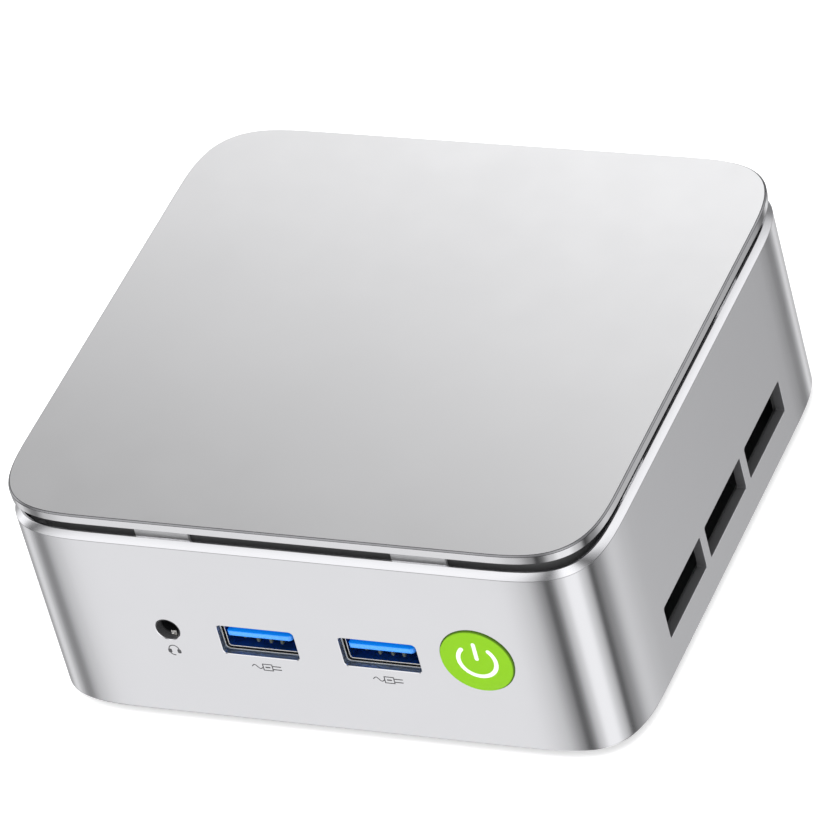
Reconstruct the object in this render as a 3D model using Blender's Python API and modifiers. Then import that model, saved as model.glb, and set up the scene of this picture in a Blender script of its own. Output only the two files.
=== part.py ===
"""Mini pc: an anodised aluminium sleeve with a floating lid, on an inner plastic
chassis that carries the circuit board, its connectors, the cooler and the fan.

Units are metres, +Z up. The front faces -Y, the right-hand side faces +X and the
rubber feet stand on z = 0, so the origin is the middle of the footprint.
"""

import math

import bmesh
import bpy
from mathutils import Matrix, Vector

MM = 0.001

# ---------------------------------------------------------------- driving sizes
WIDTH, DEPTH = 114.0, 108.4  # outside of the sleeve
FOOT_H = 2.1  # rubber feet
Z_SLEEVE = 2.0  # lower edge of the sleeve
Z_WALL = 41.8  # where the sleeve's wall ends and its chamfer starts
CHAMFER = 1.1  # sleeve's upper chamfer, 45 degrees
Z_RIM = Z_WALL + CHAMFER
Z_LID, Z_TOP = 45.6, 47.6  # lid plate, lower and upper face
LID_CHAMFER = 0.35
WALL = 1.5  # sleeve wall
GAP = 0.3  # clearance between neighbouring pieces
CORNER, CORNER_POWER = 24.2, 4.2  # sleeve corner: extent and superellipse power
LID_CORNER, LID_POWER = 20.5, 3.4
CORNER_STEPS = 9

FRAME_WALL = 1.6
NECK_INSET, NECK_WALL = 3.8, 1.4  # the chassis' upper neck, seen in the shadow gap
Z_LEDGE = 38.5
TAB_X, TAB_LEN, TAB_INSET, TAB_T = 24.6, 10.4, 2.7, 0.8

VENT_L, VENT_H, VENT_PITCH, VENT_Y, VENT_Z = 18.5, 7.0, 21.3, 0.4, 12.3
LINER = 0.5

Z_BOARD, BOARD_T = 16.0, 1.6
Z_DECK = Z_BOARD + BOARD_T  # upper face of the circuit board
POST_X, POST_Y, POST_R = 48.0, 45.2, 3.8

USB_W, USB_H, USB_Z, USB_T = 13.1, 5.7, 21.1, 0.4
USB_CUT_W, USB_CUT_H = 14.6, 6.4
USB_FRONT_X = (-10.1, 13.4)
JACK_X, JACK_Z, JACK_HOLE_R = -27.45, 22.1, 2.3
BUTTON_X, BUTTON_Z, BUTTON_R, BUTTON_HOLE_R = 32.25, 22.35, 6.95, 7.25
BUTTON_PROUD, BUTTON_TRAVEL = 0.25, 0.6

FRONT, BACK, RIGHT = -DEPTH / 2, DEPTH / 2, WIDTH / 2
FAN_X, FAN_Y = 0.0, -8.0

# ---------------------------------------------------------------- clean start
for old in list(bpy.data.objects):
    bpy.data.objects.remove(old, do_unlink=True)

parts = bpy.data.collections.new("mini_pc")
cutters = bpy.data.collections.new("cutters")
bpy.context.scene.collection.children.link(parts)
bpy.context.scene.collection.children.link(cutters)


# ---------------------------------------------------------------- materials
def finish(name, colour, rough, metal=0.0):
    mat = bpy.data.materials.new(name)
    mat.use_nodes = True
    shader = mat.node_tree.nodes["Principled BSDF"]
    shader.inputs["Base Color"].default_value = (*colour, 1.0)
    shader.inputs["Roughness"].default_value = rough
    shader.inputs["Metallic"].default_value = metal
    return mat


ALU = finish("silver_anodised", (0.74, 0.74, 0.76), 0.32, 1.0)
LID = finish("silver_lid", (0.72, 0.72, 0.74), 0.36, 1.0)
DARK = finish("dark_plastic", (0.035, 0.035, 0.038), 0.55)
COVER = finish("cover_plastic", (0.045, 0.045, 0.048), 0.6)
RUBBER = finish("rubber", (0.02, 0.02, 0.02), 0.85)
STEEL = finish("screw_steel", (0.35, 0.35, 0.36), 0.35, 1.0)
SHELL_STEEL = finish("connector_steel", (0.55, 0.57, 0.6), 0.28, 1.0)
BLUE = finish("blue_plastic", (0.01, 0.16, 0.62), 0.45)
BLACK = finish("black_plastic", (0.012, 0.012, 0.013), 0.5)
GREEN = finish("green_button", (0.29, 0.72, 0.03), 0.35)
BOARD = finish("board_green", (0.02, 0.13, 0.06), 0.5)
CHIP = finish("chip_black", (0.03, 0.03, 0.033), 0.45)
HEATSINK = finish("heatsink_alu", (0.6, 0.6, 0.62), 0.4, 1.0)
BRASS = finish("brass", (0.8, 0.6, 0.25), 0.3, 1.0)
CELL = finish("coin_cell_steel", (0.7, 0.7, 0.68), 0.25, 1.0)


# ---------------------------------------------------------------- modelling aids
def rounded(half_x, half_y, extent, power, steps=CORNER_STEPS):
    """A rectangle with superellipse corners, anticlockwise."""
    loop = []
    for sx, sy, start in ((1, 1, 0), (-1, 1, 1), (-1, -1, 2), (1, -1, 3)):
        for i in range(steps + 1):
            t = math.pi / 2 * i / steps
            if start % 2:
                t = math.pi / 2 - t
            cx = extent * max(math.cos(t), 0.0) ** (2 / power)
            cy = extent * max(math.sin(t), 0.0) ** (2 / power)
            loop.append((sx * (half_x - extent + cx), sy * (half_y - extent + cy)))
    return loop


def sleeve_loop(inset):
    return rounded(WIDTH / 2 - inset, DEPTH / 2 - inset, CORNER - inset, CORNER_POWER)


def slot(cx, cy, width, height, radius, steps=3):
    """A rounded rectangle with circular corners about (cx, cy)."""
    return [
        (cx + x, cy + y) for x, y in rounded(width / 2, height / 2, radius, 2.0, steps)
    ]


def piece(name, mesh, material, where=(0, 0, 0), group=None):
    obj = bpy.data.objects.new(name, mesh)
    obj.location = Vector(where) * MM
    if material:
        mesh.materials.clear()
        mesh.materials.append(material)
    (group or parts).objects.link(obj)
    return obj


TURN = {
    "Z": Matrix.Identity(4),
    "Y": Matrix(((1, 0, 0, 0), (0, 0, -1, 0), (0, 1, 0, 0), (0, 0, 0, 1))),
    "X": Matrix(((0, 0, 1, 0), (1, 0, 0, 0), (0, 1, 0, 0), (0, 0, 0, 1))),
}


def flat(name, loops, low, high, material=None, axis="Z", where=(0, 0, 0), group=None):
    """Outlines filled and extruded from low to high along axis. On Y an outline's
    second coordinate is height; on X its first is Y and its second is height."""
    curve = bpy.data.curves.new(name, "CURVE")
    curve.dimensions = "2D"
    curve.fill_mode = "BOTH"
    curve.extrude = (high - low) / 2 * MM
    for loop in loops:
        spline = curve.splines.new("POLY")
        spline.points.add(len(loop) - 1)
        for point, (x, y) in zip(spline.points, loop):
            point.co = (x * MM, y * MM, 0, 1)
        spline.use_cyclic_u = True
    guide = bpy.data.objects.new(name + "_outline", curve)
    parts.objects.link(guide)
    bpy.context.view_layer.update()
    graph = bpy.context.evaluated_depsgraph_get()
    mesh = bpy.data.meshes.new_from_object(guide.evaluated_get(graph))
    bpy.data.objects.remove(guide, do_unlink=True)
    bpy.data.curves.remove(curve)
    mesh.name = name
    middle = (low + high) / 2 * MM
    mesh.transform(Matrix.Translation((0, 0, -middle if axis == "Y" else middle)))
    mesh.transform(TURN[axis])
    bm = bmesh.new()
    bm.from_mesh(mesh)
    bmesh.ops.remove_doubles(bm, verts=bm.verts, dist=1e-6)
    bmesh.ops.recalc_face_normals(bm, faces=bm.faces)
    bm.to_mesh(mesh)
    bm.free()
    return piece(name, mesh, material, where, group)


def block(name, low, high, material=None, group=None):
    """A box between two corners, with its origin at its middle."""
    bm = bmesh.new()
    bmesh.ops.create_cube(bm, size=1.0)
    size = [b - a for a, b in zip(low, high)]
    bmesh.ops.scale(bm, vec=Vector(size) * MM, verts=bm.verts)
    mesh = bpy.data.meshes.new(name)
    bm.to_mesh(mesh)
    bm.free()
    middle = [(a + b) / 2 for a, b in zip(low, high)]
    return piece(name, mesh, material, middle, group)


def rod(name, where, low, high, radius, material=None, axis="Z", sides=24, end=None, group=None):
    """A cylinder, or a cone when end is given, from low to high along axis."""
    bm = bmesh.new()
    bmesh.ops.create_cone(
        bm,
        cap_ends=True,
        cap_tris=False,
        segments=sides,
        radius1=radius * MM,
        radius2=(radius if end is None else end) * MM,
        depth=(high - low) * MM,
    )
    middle = (low + high) / 2
    along = {
        "Z": (Matrix.Identity(4), (0, 0, middle)),
        "Y": (Matrix.Rotation(-math.pi / 2, 4, "X"), (0, middle, 0)),
        "X": (Matrix.Rotation(math.pi / 2, 4, "Y"), (middle, 0, 0)),
    }[axis]
    bmesh.ops.transform(bm, matrix=along[0], verts=bm.verts)
    mesh = bpy.data.meshes.new(name)
    bm.to_mesh(mesh)
    bm.free()
    place = Vector(where) + Vector(along[1])
    obj = piece(name, mesh, material, place, group)
    mesh.shade_smooth()
    mesh.set_sharp_from_angle(angle=math.radians(35))
    return obj


def turned(name, profile, material, where, sides=24, axis="Z"):
    """A profile of (radius, height) turned about its axis."""
    mesh = bpy.data.meshes.new(name)
    mesh.from_pydata(
        [(r * MM, 0, z * MM) for r, z in profile],
        [(i, i + 1) for i in range(len(profile) - 1)],
        [],
    )
    obj = piece(name, mesh, material, where)
    screw = obj.modifiers.new("turn", "SCREW")
    screw.axis = "Z"
    screw.steps = screw.render_steps = sides
    screw.use_merge_vertices = True
    screw.merge_threshold = 0.000001
    screw.use_smooth_shade = True
    if axis == "Y":
        obj.rotation_euler = (math.pi / 2, 0, 0)
    return obj


def chamfer(obj, width, picked, segments=1):
    """Bevels the edges whose two ends both satisfy picked, in the piece's own frame."""
    bm = bmesh.new()
    bm.from_mesh(obj.data)
    edges = [
        e
        for e in bm.edges
        if all(picked(v.co / MM) for v in e.verts)
        and len(e.link_faces) == 2
        and e.calc_face_angle(0) > math.radians(30)
    ]
    bmesh.ops.bevel(
        bm,
        geom=edges,
        offset=width * MM,
        offset_type="OFFSET",
        segments=segments,
        profile=0.5,
        affect="EDGES",
    )
    bm.to_mesh(obj.data)
    bm.free()
    return obj


def helper(obj):
    for home in list(obj.users_collection):
        home.objects.unlink(obj)
    cutters.objects.link(obj)
    obj.hide_render = True
    obj.display_type = "WIRE"
    return obj


def boolean(obj, other, operation):
    helper(other)
    modifier = obj.modifiers.new(other.name, "BOOLEAN")
    modifier.operation = operation
    modifier.object = other
    modifier.solver = "EXACT"
    return obj


def cut(obj, *others):
    for other in others:
        boolean(obj, other, "DIFFERENCE")
    return obj


def join(obj, *others):
    for other in others:
        boolean(obj, other, "UNION")
    return obj


# ---------------------------------------------------------------- sleeve
shell = flat("body_shell", [sleeve_loop(0)], Z_SLEEVE, Z_RIM, ALU)
chamfer(shell, CHAMFER, lambda co: co.z > Z_RIM - 0.01)
cut(shell, flat("shell_bore", [sleeve_loop(WALL)], 0, 50))

VENTS = [VENT_Y + i * VENT_PITCH for i in (-1, 0, 1)]
for side in (-1, 1):
    tag = "right" if side > 0 else "left"
    for i, y in enumerate(VENTS):
        cut(
            shell,
            flat(
                f"vent_cut_{tag}_{i}",
                [slot(y, VENT_Z, VENT_L, VENT_H, 0.7, 2)],
                side * RIGHT - 3,
                side * RIGHT + 3,
                axis="X",
            ),
        )
for i, x in enumerate(USB_FRONT_X):
    cut(
        shell,
        flat(
            f"usb_front_cut_{i}",
            [slot(x, USB_Z, USB_CUT_W, USB_CUT_H, 0.5, 2)],
            FRONT - 3,
            FRONT + 3,
            axis="Y",
        ),
    )
cut(shell, rod("jack_cut", (JACK_X, 0, JACK_Z), FRONT - 3, FRONT + 3, JACK_HOLE_R, axis="Y"))
cut(
    shell,
    rod("button_cut", (BUTTON_X, 0, BUTTON_Z), FRONT - 3, FRONT + 3, BUTTON_HOLE_R, axis="Y", sides=40),
)

# Rear connectors, from the power inlet at +X to the USB pair at -X.
DC_X, DC_Z = 37.0, 22.4
HDMI_X = (22.5, 5.0)
HDMI_Z = 21.0
LAN_X, LAN_W, LAN_LOW, LAN_HIGH = -13.0, 15.9, 17.9, 31.3
REAR_USB_X, REAR_USB_Z = -32.0, (USB_Z, USB_Z + 7.5)
cut(shell, rod("dc_cut", (DC_X, 0, DC_Z), BACK - 3, BACK + 3, 3.3, axis="Y"))
for i, x in enumerate(HDMI_X):
    cut(
        shell,
        flat(f"hdmi_cut_{i}", [slot(x, HDMI_Z, 15.7, 6.3, 0.8, 2)], BACK - 3, BACK + 3, axis="Y"),
    )
cut(
    shell,
    flat(
        "lan_cut",
        [slot(LAN_X, (LAN_LOW + LAN_HIGH) / 2, LAN_W + 0.7, LAN_HIGH - LAN_LOW + 0.7, 0.4, 2)],
        BACK - 3,
        BACK + 3,
        axis="Y",
    ),
)
for i, z in enumerate(REAR_USB_Z):
    cut(
        shell,
        flat(
            f"usb_rear_cut_{i}",
            [slot(REAR_USB_X, z, USB_CUT_W, USB_CUT_H, 0.5, 2)],
            BACK - 3,
            BACK + 3,
            axis="Y",
        ),
    )
EXHAUST = [(-6.5 + i) * 4.8 for i in range(14)]
for i, x in enumerate(EXHAUST):
    cut(shell, block(f"exhaust_cut_{i}", (x - 1.2, BACK - 3, 33.0), (x + 1.2, BACK + 3, 36.4)))

# ---------------------------------------------------------------- lid
lid = flat(
    "top_plate", [rounded(WIDTH / 2, DEPTH / 2, LID_CORNER + 0.4, LID_POWER)], Z_LID, Z_TOP, LID
)
chamfer(lid, LID_CHAMFER, lambda co: co.z > Z_TOP - 0.01)
for i, (sx, sy) in enumerate(((1, 0), (-1, 0), (0, 1), (0, -1))):
    for j, centre in enumerate((-TAB_X, TAB_X)):
        if sx:
            outer, inner = sx * (RIGHT - TAB_INSET), sx * (RIGHT - TAB_INSET - TAB_T)
            low = (min(outer, inner), centre - TAB_LEN / 2, Z_RIM - 2.1)
            high = (max(outer, inner), centre + TAB_LEN / 2, Z_LID + 0.4)
        else:
            outer, inner = sy * (BACK - TAB_INSET), sy * (BACK - TAB_INSET - TAB_T)
            low = (centre - TAB_LEN / 2, min(outer, inner), Z_RIM - 2.1)
            high = (centre + TAB_LEN / 2, max(outer, inner), Z_LID + 0.4)
        join(lid, block(f"lid_tab_{i}_{j}", low, high))
for i, (sx, sy) in enumerate(((-1, -1), (1, -1), (-1, 1), (1, 1))):
    join(lid, rod(f"lid_peg_{i}", (sx * 41, sy * 38, 0), 40.6, Z_LID + 0.4, 2.2, sides=16))

# ---------------------------------------------------------------- inner chassis
frame = flat("inner_frame", [sleeve_loop(WALL + GAP)], 4.2, Z_LEDGE, DARK)
join(frame, flat("frame_neck", [sleeve_loop(NECK_INSET)], Z_LEDGE - 0.8, Z_LID - GAP))
cut(frame, flat("frame_bore", [sleeve_loop(WALL + GAP + FRAME_WALL)], 3, Z_LEDGE - 1.6))
cut(frame, flat("neck_bore", [sleeve_loop(NECK_INSET + NECK_WALL)], 30, 50))
for i, (sx, sy) in enumerate(((-1, -1), (1, -1), (-1, 1), (1, 1))):
    join(frame, rod(f"frame_post_{i}", (sx * POST_X, sy * POST_Y, 0), 4.35, 15.6, POST_R, sides=20))
for i, (sx, sy) in enumerate(((-1, -1), (1, -1), (-1, 1), (1, 1))):
    cut(frame, rod(f"post_bore_{i}", (sx * POST_X, sy * POST_Y, 0), 3, 17, 1.5, sides=12))
cut(frame, block("frame_front_window", (-33, FRONT, 12.6), (43.5, FRONT + 6, 31.5)))
cut(frame, block("frame_rear_window", (-42, BACK - 6, 16.8), (43.5, BACK, 36.5)))
for side in (-1, 1):
    low, high = sorted((side * (RIGHT - 6), side * RIGHT))
    cut(
        frame,
        block(f"frame_side_window_{side}", (low, VENT_Y - 32.8, 6.7), (high, VENT_Y + 32.8, 17.9)),
    )

# ---------------------------------------------------------------- side grilles
for side in (-1, 1):
    tag = "right" if side > 0 else "left"
    low, high = sorted((side * (RIGHT - 3.0), side * (RIGHT - WALL - GAP)))
    grille = block(
        f"side_grille_{tag}", (low, VENT_Y - 32.5, 7.0), (high, VENT_Y + 32.5, 17.6), DARK
    )
    for i, y in enumerate(VENTS):
        low, high = sorted((side * (RIGHT - WALL - GAP - 0.5), side * (RIGHT - 0.25)))
        join(
            grille,
            flat(
                f"grille_collar_{tag}_{i}",
                [slot(y, VENT_Z, VENT_L - 2 * GAP, VENT_H - 2 * GAP, 0.5, 2)],
                low,
                high,
                axis="X",
            ),
        )
    for i, y in enumerate(VENTS):
        low, high = sorted((side * (RIGHT - 5), side * (RIGHT + 2)))
        half_l, half_h = VENT_L / 2 - GAP - LINER, VENT_H / 2 - GAP - LINER
        cut(
            grille,
            block(
                f"grille_window_{tag}_{i}",
                (low, y - half_l, VENT_Z - half_h),
                (high, y + half_l, VENT_Z + half_h),
            ),
        )

# ---------------------------------------------------------------- bottom cover, screws and feet
cover = flat("bottom_cover", [sleeve_loop(WALL + GAP)], 2.4, 3.9, COVER)
for i in range(11):
    x = (i - 5) * 6.0
    cut(cover, flat(f"intake_cut_{i}", [slot(x, 0, 2.6, 34, 1.25, 2)], 0, 6))
CORNERS = (
    ("front_left", -1, -1),
    ("front_right", 1, -1),
    ("back_left", -1, 1),
    ("back_right", 1, 1),
)
for tag, sx, sy in CORNERS:
    x, y = sx * POST_X, sy * POST_Y
    cut(cover, rod(f"screw_hole_{tag}", (x, y, 0), 1.0, 6.0, 1.6, sides=16))
    cut(cover, rod(f"screw_sink_{tag}", (x, y, 0), 2.0, 3.5, 3.5, sides=20, end=1.55))
    cover_screw = turned(
        f"cover_screw_{tag}",
        [(0, 10.5), (1.2, 10.5), (1.2, 3.75), (2.7, 2.55), (0, 2.55)],
        STEEL,
        (x, y, 0),
        sides=16,
    )
    for k, (a, b) in enumerate(((1.7, 0.3), (0.3, 1.7))):
        cut(cover_screw, block(f"cross_{tag}_{k}", (x - a, y - b, 2.0), (x + a, y + b, 3.2)))
    turned(
        f"foot_{tag}",
        [(0, FOOT_H), (5.6, FOOT_H), (6.0, FOOT_H - 0.3), (6.0, 0.4), (5.6, 0), (0, 0)],
        RUBBER,
        (sx * 39.0, sy * 36.0, 0),
        sides=28,
    )
    turned(
        f"board_screw_{tag}",
        [(0, 19.3), (1.5, 19.3), (2.2, 18.7), (2.2, 17.9), (1.2, 17.9), (1.2, 11.5), (0, 11.5)],
        STEEL,
        (x, y, 0),
        sides=14,
    )

# ---------------------------------------------------------------- circuit board
board = flat("motherboard", [sleeve_loop(3.8)], Z_BOARD, Z_DECK, BOARD)
for tag, sx, sy in CORNERS:
    cut(board, rod(f"board_hole_{tag}", (sx * POST_X, sy * POST_Y, 0), 14, 20, 1.5, sides=12))


# ---------------------------------------------------------------- connectors
def receptacle(name, x, z, width, height, front, back, facing, wall, material, lower=0.0):
    """A folded steel socket, open at front and closed at back. lower narrows its
    lower corners, as on a video connector."""
    def loop(inset):
        half_w, half_h, k = width / 2 - inset, height / 2 - inset, lower - 0.4 * inset if lower else 0
        if not lower:
            return slot(x, z, 2 * half_w, 2 * half_h, 0.45, 2)
        return [
            (x - half_w, z + half_h),
            (x - half_w, z - half_h + k),
            (x - half_w + k, z - half_h),
            (x + half_w - k, z - half_h),
            (x + half_w, z - half_h + k),
            (x + half_w, z + half_h),
        ]

    low, high = min(front, back), max(front, back)
    obj = flat(name, [loop(0)], low, high, material, axis="Y")
    if facing < 0:
        a, b = low - 2, high - wall
    else:
        a, b = low + wall, high + 2
    return cut(obj, flat(name + "_mouth", [loop(wall)], a, b, axis="Y"))


def usb(name, x, z, facing):
    mouth = facing * (DEPTH / 2 - 0.3)
    end = facing * (DEPTH / 2 - 14.2)
    receptacle(f"{name}_shell", x, z, USB_W, USB_H, mouth, end, facing, USB_T, SHELL_STEEL)
    low, high = sorted((facing * (DEPTH / 2 - 1.1), facing * (DEPTH / 2 - 13.5)))
    block(f"{name}_tongue", (x - 5.85, low, z + 0.05), (x + 5.85, high, z + 1.15), BLUE)


usb("usb_front_left", USB_FRONT_X[0], USB_Z, -1)
usb("usb_front_right", USB_FRONT_X[1], USB_Z, -1)
usb("usb_rear_lower", REAR_USB_X, REAR_USB_Z[0], 1)
usb("usb_rear_upper", REAR_USB_X, REAR_USB_Z[1], 1)

for tag, x in zip("ab", HDMI_X):
    receptacle(
        f"hdmi_{tag}_shell", x, HDMI_Z, 14.9, 5.5, BACK - 0.3, BACK - 12, 1, 0.4, SHELL_STEEL, 1.5
    )
    block(f"hdmi_{tag}_tongue", (x - 5.8, BACK - 11.3, HDMI_Z - 0.3), (x + 5.8, BACK - 1.6, HDMI_Z + 0.9), BLACK)

jack = block("audio_jack", (JACK_X - 3.2, FRONT + 1.8, 19.0), (JACK_X + 3.2, FRONT + 14.2, 25.0), BLACK)
cut(jack, rod("jack_bore", (JACK_X, 0, JACK_Z), FRONT - 2, FRONT + 12.5, 1.8, axis="Y", sides=20))

dc = block("dc_jack", (DC_X - 4.5, BACK - 13.0, 17.9), (DC_X + 4.5, BACK - 1.8, 26.9), BLACK)
cut(dc, rod("dc_bore", (DC_X, 0, DC_Z), BACK - 11.0, BACK + 2, 2.9, axis="Y"))
rod("dc_pin", (DC_X, 0, DC_Z), BACK - 10.7, BACK - 2.4, 1.0, BRASS, axis="Y", sides=14)

lan = block(
    "lan_port", (LAN_X - LAN_W / 2, BACK - 21.2, LAN_LOW), (LAN_X + LAN_W / 2, BACK - 0.3, LAN_HIGH), SHELL_STEEL
)
cut(lan, block("lan_mouth", (LAN_X - 5.9, BACK - 15, 21.4), (LAN_X + 5.9, BACK + 2, 29.6)))
cut(lan, block("lan_latch", (LAN_X - 3.2, BACK - 12, 19.2), (LAN_X + 3.2, BACK + 2, 21.6)))

# ---------------------------------------------------------------- power button and its switch
# The button slides along +Y. Its origin is on that line, at the middle of its face.
button = turned(
    "power_button",
    [
        (0, BUTTON_PROUD),
        (BUTTON_R - 0.15, BUTTON_PROUD),
        (BUTTON_R, BUTTON_PROUD - 0.15),
        (BUTTON_R, -WALL - GAP),
        (BUTTON_R + 1.0, -WALL - GAP),
        (BUTTON_R + 1.0, -WALL - GAP - 0.8),
        (1.5, -WALL - GAP - 0.8),
        (1.5, -6.7),
        (0, -6.7),
    ],
    GREEN,
    (BUTTON_X, FRONT, BUTTON_Z),
    sides=40,
    axis="Y",
)
switch = block(
    "power_switch", (BUTTON_X - 3, FRONT + 8.2, 17.9), (BUTTON_X + 3, FRONT + 11.7, 25.0), CHIP
)
join(switch, rod("switch_plunger", (BUTTON_X, 0, BUTTON_Z), FRONT + 7.6, FRONT + 8.6, 1.2, axis="Y", sides=14))

# ---------------------------------------------------------------- processor, cooler and fan
block("cpu_package", (-14, -16.5, 17.9), (14, 8.5, 19.3), CHIP)
cooler = block("heatsink", (-28, -36, 19.6), (28, 20, 31.2), HEATSINK)
for i in range(13):
    x = -25.2 + i * 4.2
    cut(cooler, block(f"fin_gap_{i}", (x - 1.4, -38, 22.4), (x + 1.4, 22, 34)))

housing = block("fan_housing", (FAN_X - 30, FAN_Y - 30, 32.0), (FAN_X + 30, FAN_Y + 30, 43.0), DARK)
cut(housing, rod("fan_throat", (FAN_X, FAN_Y, 0), 31, 44, 27.5, sides=48))
join(housing, rod("fan_stator", (FAN_X, FAN_Y, 0), 32.0, 33.4, 9.0))
for i in range(3):
    arm = block(f"fan_arm_{i}", (5, -1.5, 32.0), (29, 1.5, 33.3))
    turn = Matrix.Rotation(math.radians(45 + 120 * i), 4, "Z")
    arm.matrix_world = Matrix.Translation((FAN_X * MM, FAN_Y * MM, 0)) @ turn @ Matrix.Translation(arm.location)
    join(housing, arm)
join(housing, rod("fan_axle", (FAN_X, FAN_Y, 0), 32.5, 39.6, 1.2, sides=16))
for i, (sx, sy) in enumerate(((-1, -1), (1, -1), (-1, 1), (1, 1))):
    cut(housing, rod(f"fan_corner_{i}", (FAN_X + sx * 25.5, FAN_Y + sy * 25.5, 0), 31, 44, 1.6, sides=12))

# The rotor turns about Z on the fixed axle. Its origin is on that axis.
ROTOR_Z = 34.0
rotor = turned(
    "fan_rotor",
    [
        (0, 8.0),
        (10.4, 8.0),
        (11.0, 7.4),
        (11.0, 0),
        (9.6, 0),
        (9.6, 6.8),
        (3.0, 6.8),
        (3.0, 0.6),
        (1.5, 0.6),
        (1.5, 6.2),
        (0, 6.2),
    ],
    BLACK,
    (FAN_X, FAN_Y, ROTOR_Z),
    sides=28,
)
for i in range(7):
    blade = block(f"fan_blade_{i}", (10.2, -4.6, -0.5), (26.3, 4.6, 0.5))
    place = (
        Matrix.Translation((FAN_X * MM, FAN_Y * MM, (ROTOR_Z + 3.9) * MM))
        @ Matrix.Rotation(math.radians(360 / 7 * i), 4, "Z")
        @ Matrix.Translation(blade.location)
        @ Matrix.Rotation(math.radians(40), 4, "X")
    )
    blade.matrix_world = place
    join(rotor, blade)

# ---------------------------------------------------------------- memory, storage and radio
socket = block("memory_socket", (-36.5, -35, 9.6), (36.5, -28.3, 15.7), CHIP)
cut(socket, block("memory_slot", (-34.3, -32.2, 10.1), (34.3, -25, 11.9)))
dimm = block("memory_module", (-33.8, -31.9, 10.4), (33.8, -2.0, 11.6), BOARD)
for i, x in enumerate((-25, -8.5, 8.5, 25)):
    join(dimm, block(f"memory_chip_{i}", (x - 5, -22, 9.5), (x + 5, -8, 10.7)))

m2 = block("ssd_socket", (-45.0, 18.4, 9.8), (-38.5, 41.0, 15.7), CHIP)
cut(m2, block("ssd_slot", (-42.8, 18.9, 10.6), (-36, 41.6, 12.0)))
ssd = block("ssd_module", (-42.5, 19.2, 10.9), (37.5, 40.8, 11.7), BOARD)
for i, x in enumerate((-26, -4, 18)):
    join(ssd, block(f"ssd_chip_{i}", (x - 8, 23, 9.9), (x + 8, 37, 11.2)))
cut(ssd, rod("ssd_notch", (37.5, 30, 0), 9, 14, 1.5, sides=12))
standoff = rod("ssd_standoff", (37.5, 30, 0), 12.0, 15.7, 2.4, BRASS, sides=6)
cut(standoff, rod("standoff_bore", (37.5, 30, 0), 11, 14.6, 1.3, sides=12))
turned(
    "ssd_screw",
    [(0, 14.2), (1.0, 14.2), (1.0, 10.6), (2.4, 10.6), (2.4, 9.9), (2.0, 9.6), (0, 9.6)],
    STEEL,
    (37.5, 30, 0),
    sides=14,
)

radio = block("wifi_card", (-51.5, -34, 20.6), (-30.0, -4.4, 21.4), BOARD)
join(radio, block("wifi_shield", (-49, -30, 21.2), (-33, -13, 22.8)))
wifi_socket = block("wifi_socket", (-50.5, -6.4, 17.9), (-31.0, -1.0, 23.2), CHIP)
cut(wifi_socket, block("wifi_slot", (-52, -8, 20.3), (-29.7, -4.1, 21.7)))
holder = rod("coin_cell_holder", (42, -20, 0), 17.9, 21.0, 8.2, BLACK, sides=24)
cut(holder, rod("holder_well", (42, -20, 0), 18.6, 24, 6.6, sides=24))
rod("coin_cell", (42, -20, 0), 18.9, 20.9, 6.2, CELL, sides=24)
for side, tag in ((-1, "left"), (1, "right")):
    low, high = sorted((side * 50.7, side * 51.4))
    block(f"wifi_antenna_{tag}", (low, -15, 39.2), (high, 15, 45.0), BRASS)
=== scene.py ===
"""Looks of the mini pc: fine meshes, procedural materials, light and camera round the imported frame."""

import math

import bmesh
import bpy
import numpy as np
from mathutils import Matrix, Vector


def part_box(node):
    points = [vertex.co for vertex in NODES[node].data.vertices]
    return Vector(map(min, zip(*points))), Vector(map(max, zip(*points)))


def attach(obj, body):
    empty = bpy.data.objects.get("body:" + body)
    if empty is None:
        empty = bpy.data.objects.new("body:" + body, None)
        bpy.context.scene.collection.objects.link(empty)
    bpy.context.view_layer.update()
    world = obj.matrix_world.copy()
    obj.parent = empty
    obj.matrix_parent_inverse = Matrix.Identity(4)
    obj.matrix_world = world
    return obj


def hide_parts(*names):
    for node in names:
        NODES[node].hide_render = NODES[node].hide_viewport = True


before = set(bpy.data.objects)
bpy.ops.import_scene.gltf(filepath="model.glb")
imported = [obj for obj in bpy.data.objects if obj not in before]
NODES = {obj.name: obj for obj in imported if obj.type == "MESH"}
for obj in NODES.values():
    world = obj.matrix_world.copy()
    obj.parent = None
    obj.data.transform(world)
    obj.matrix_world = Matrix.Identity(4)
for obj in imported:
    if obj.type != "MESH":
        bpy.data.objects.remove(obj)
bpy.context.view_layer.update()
MM = 0.001
CHASSIS = "chassis"


# ------------------------------------------------------------------ sizes from the frame
def span(node):
    lo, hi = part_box(node)
    return lo / MM, hi / MM


s_lo, s_hi = span("body_shell")
l_lo, l_hi = span("top_plate")
c_lo, c_hi = span("bottom_cover")
WIDTH, DEPTH = s_hi.x - s_lo.x, s_hi.y - s_lo.y
RIGHT, BACK, FRONT = s_hi.x, s_hi.y, s_lo.y
Z_SLEEVE, Z_RIM, Z_TOP = s_lo.z, s_hi.z, l_hi.z
CHAMFER, WALL = 1.1, 1.5
Z_WALL = Z_RIM - CHAMFER
Z_LID = Z_TOP - 2.0
CORNER, CORNER_POWER = 24.2, 4.2
LID_CORNER, LID_POWER = 20.9, 3.4
g_lo, g_hi = span("side_grille_right")
VENT_L, VENT_H, VENT_PITCH = 18.95, 7.1, 21.3
VENT_Y, VENT_Z = (g_lo.y + g_hi.y) / 2 + 0.1, (g_lo.z + g_hi.z) / 2
b_lo, b_hi = span("power_button")
BUTTON_X, BUTTON_Z = (b_lo.x + b_hi.x) / 2, (b_lo.z + b_hi.z) / 2
BUTTON_HOLE_R = 6.98
BUTTON_PROUD = FRONT - b_lo.y
j_lo, j_hi = span("audio_jack")
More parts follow.
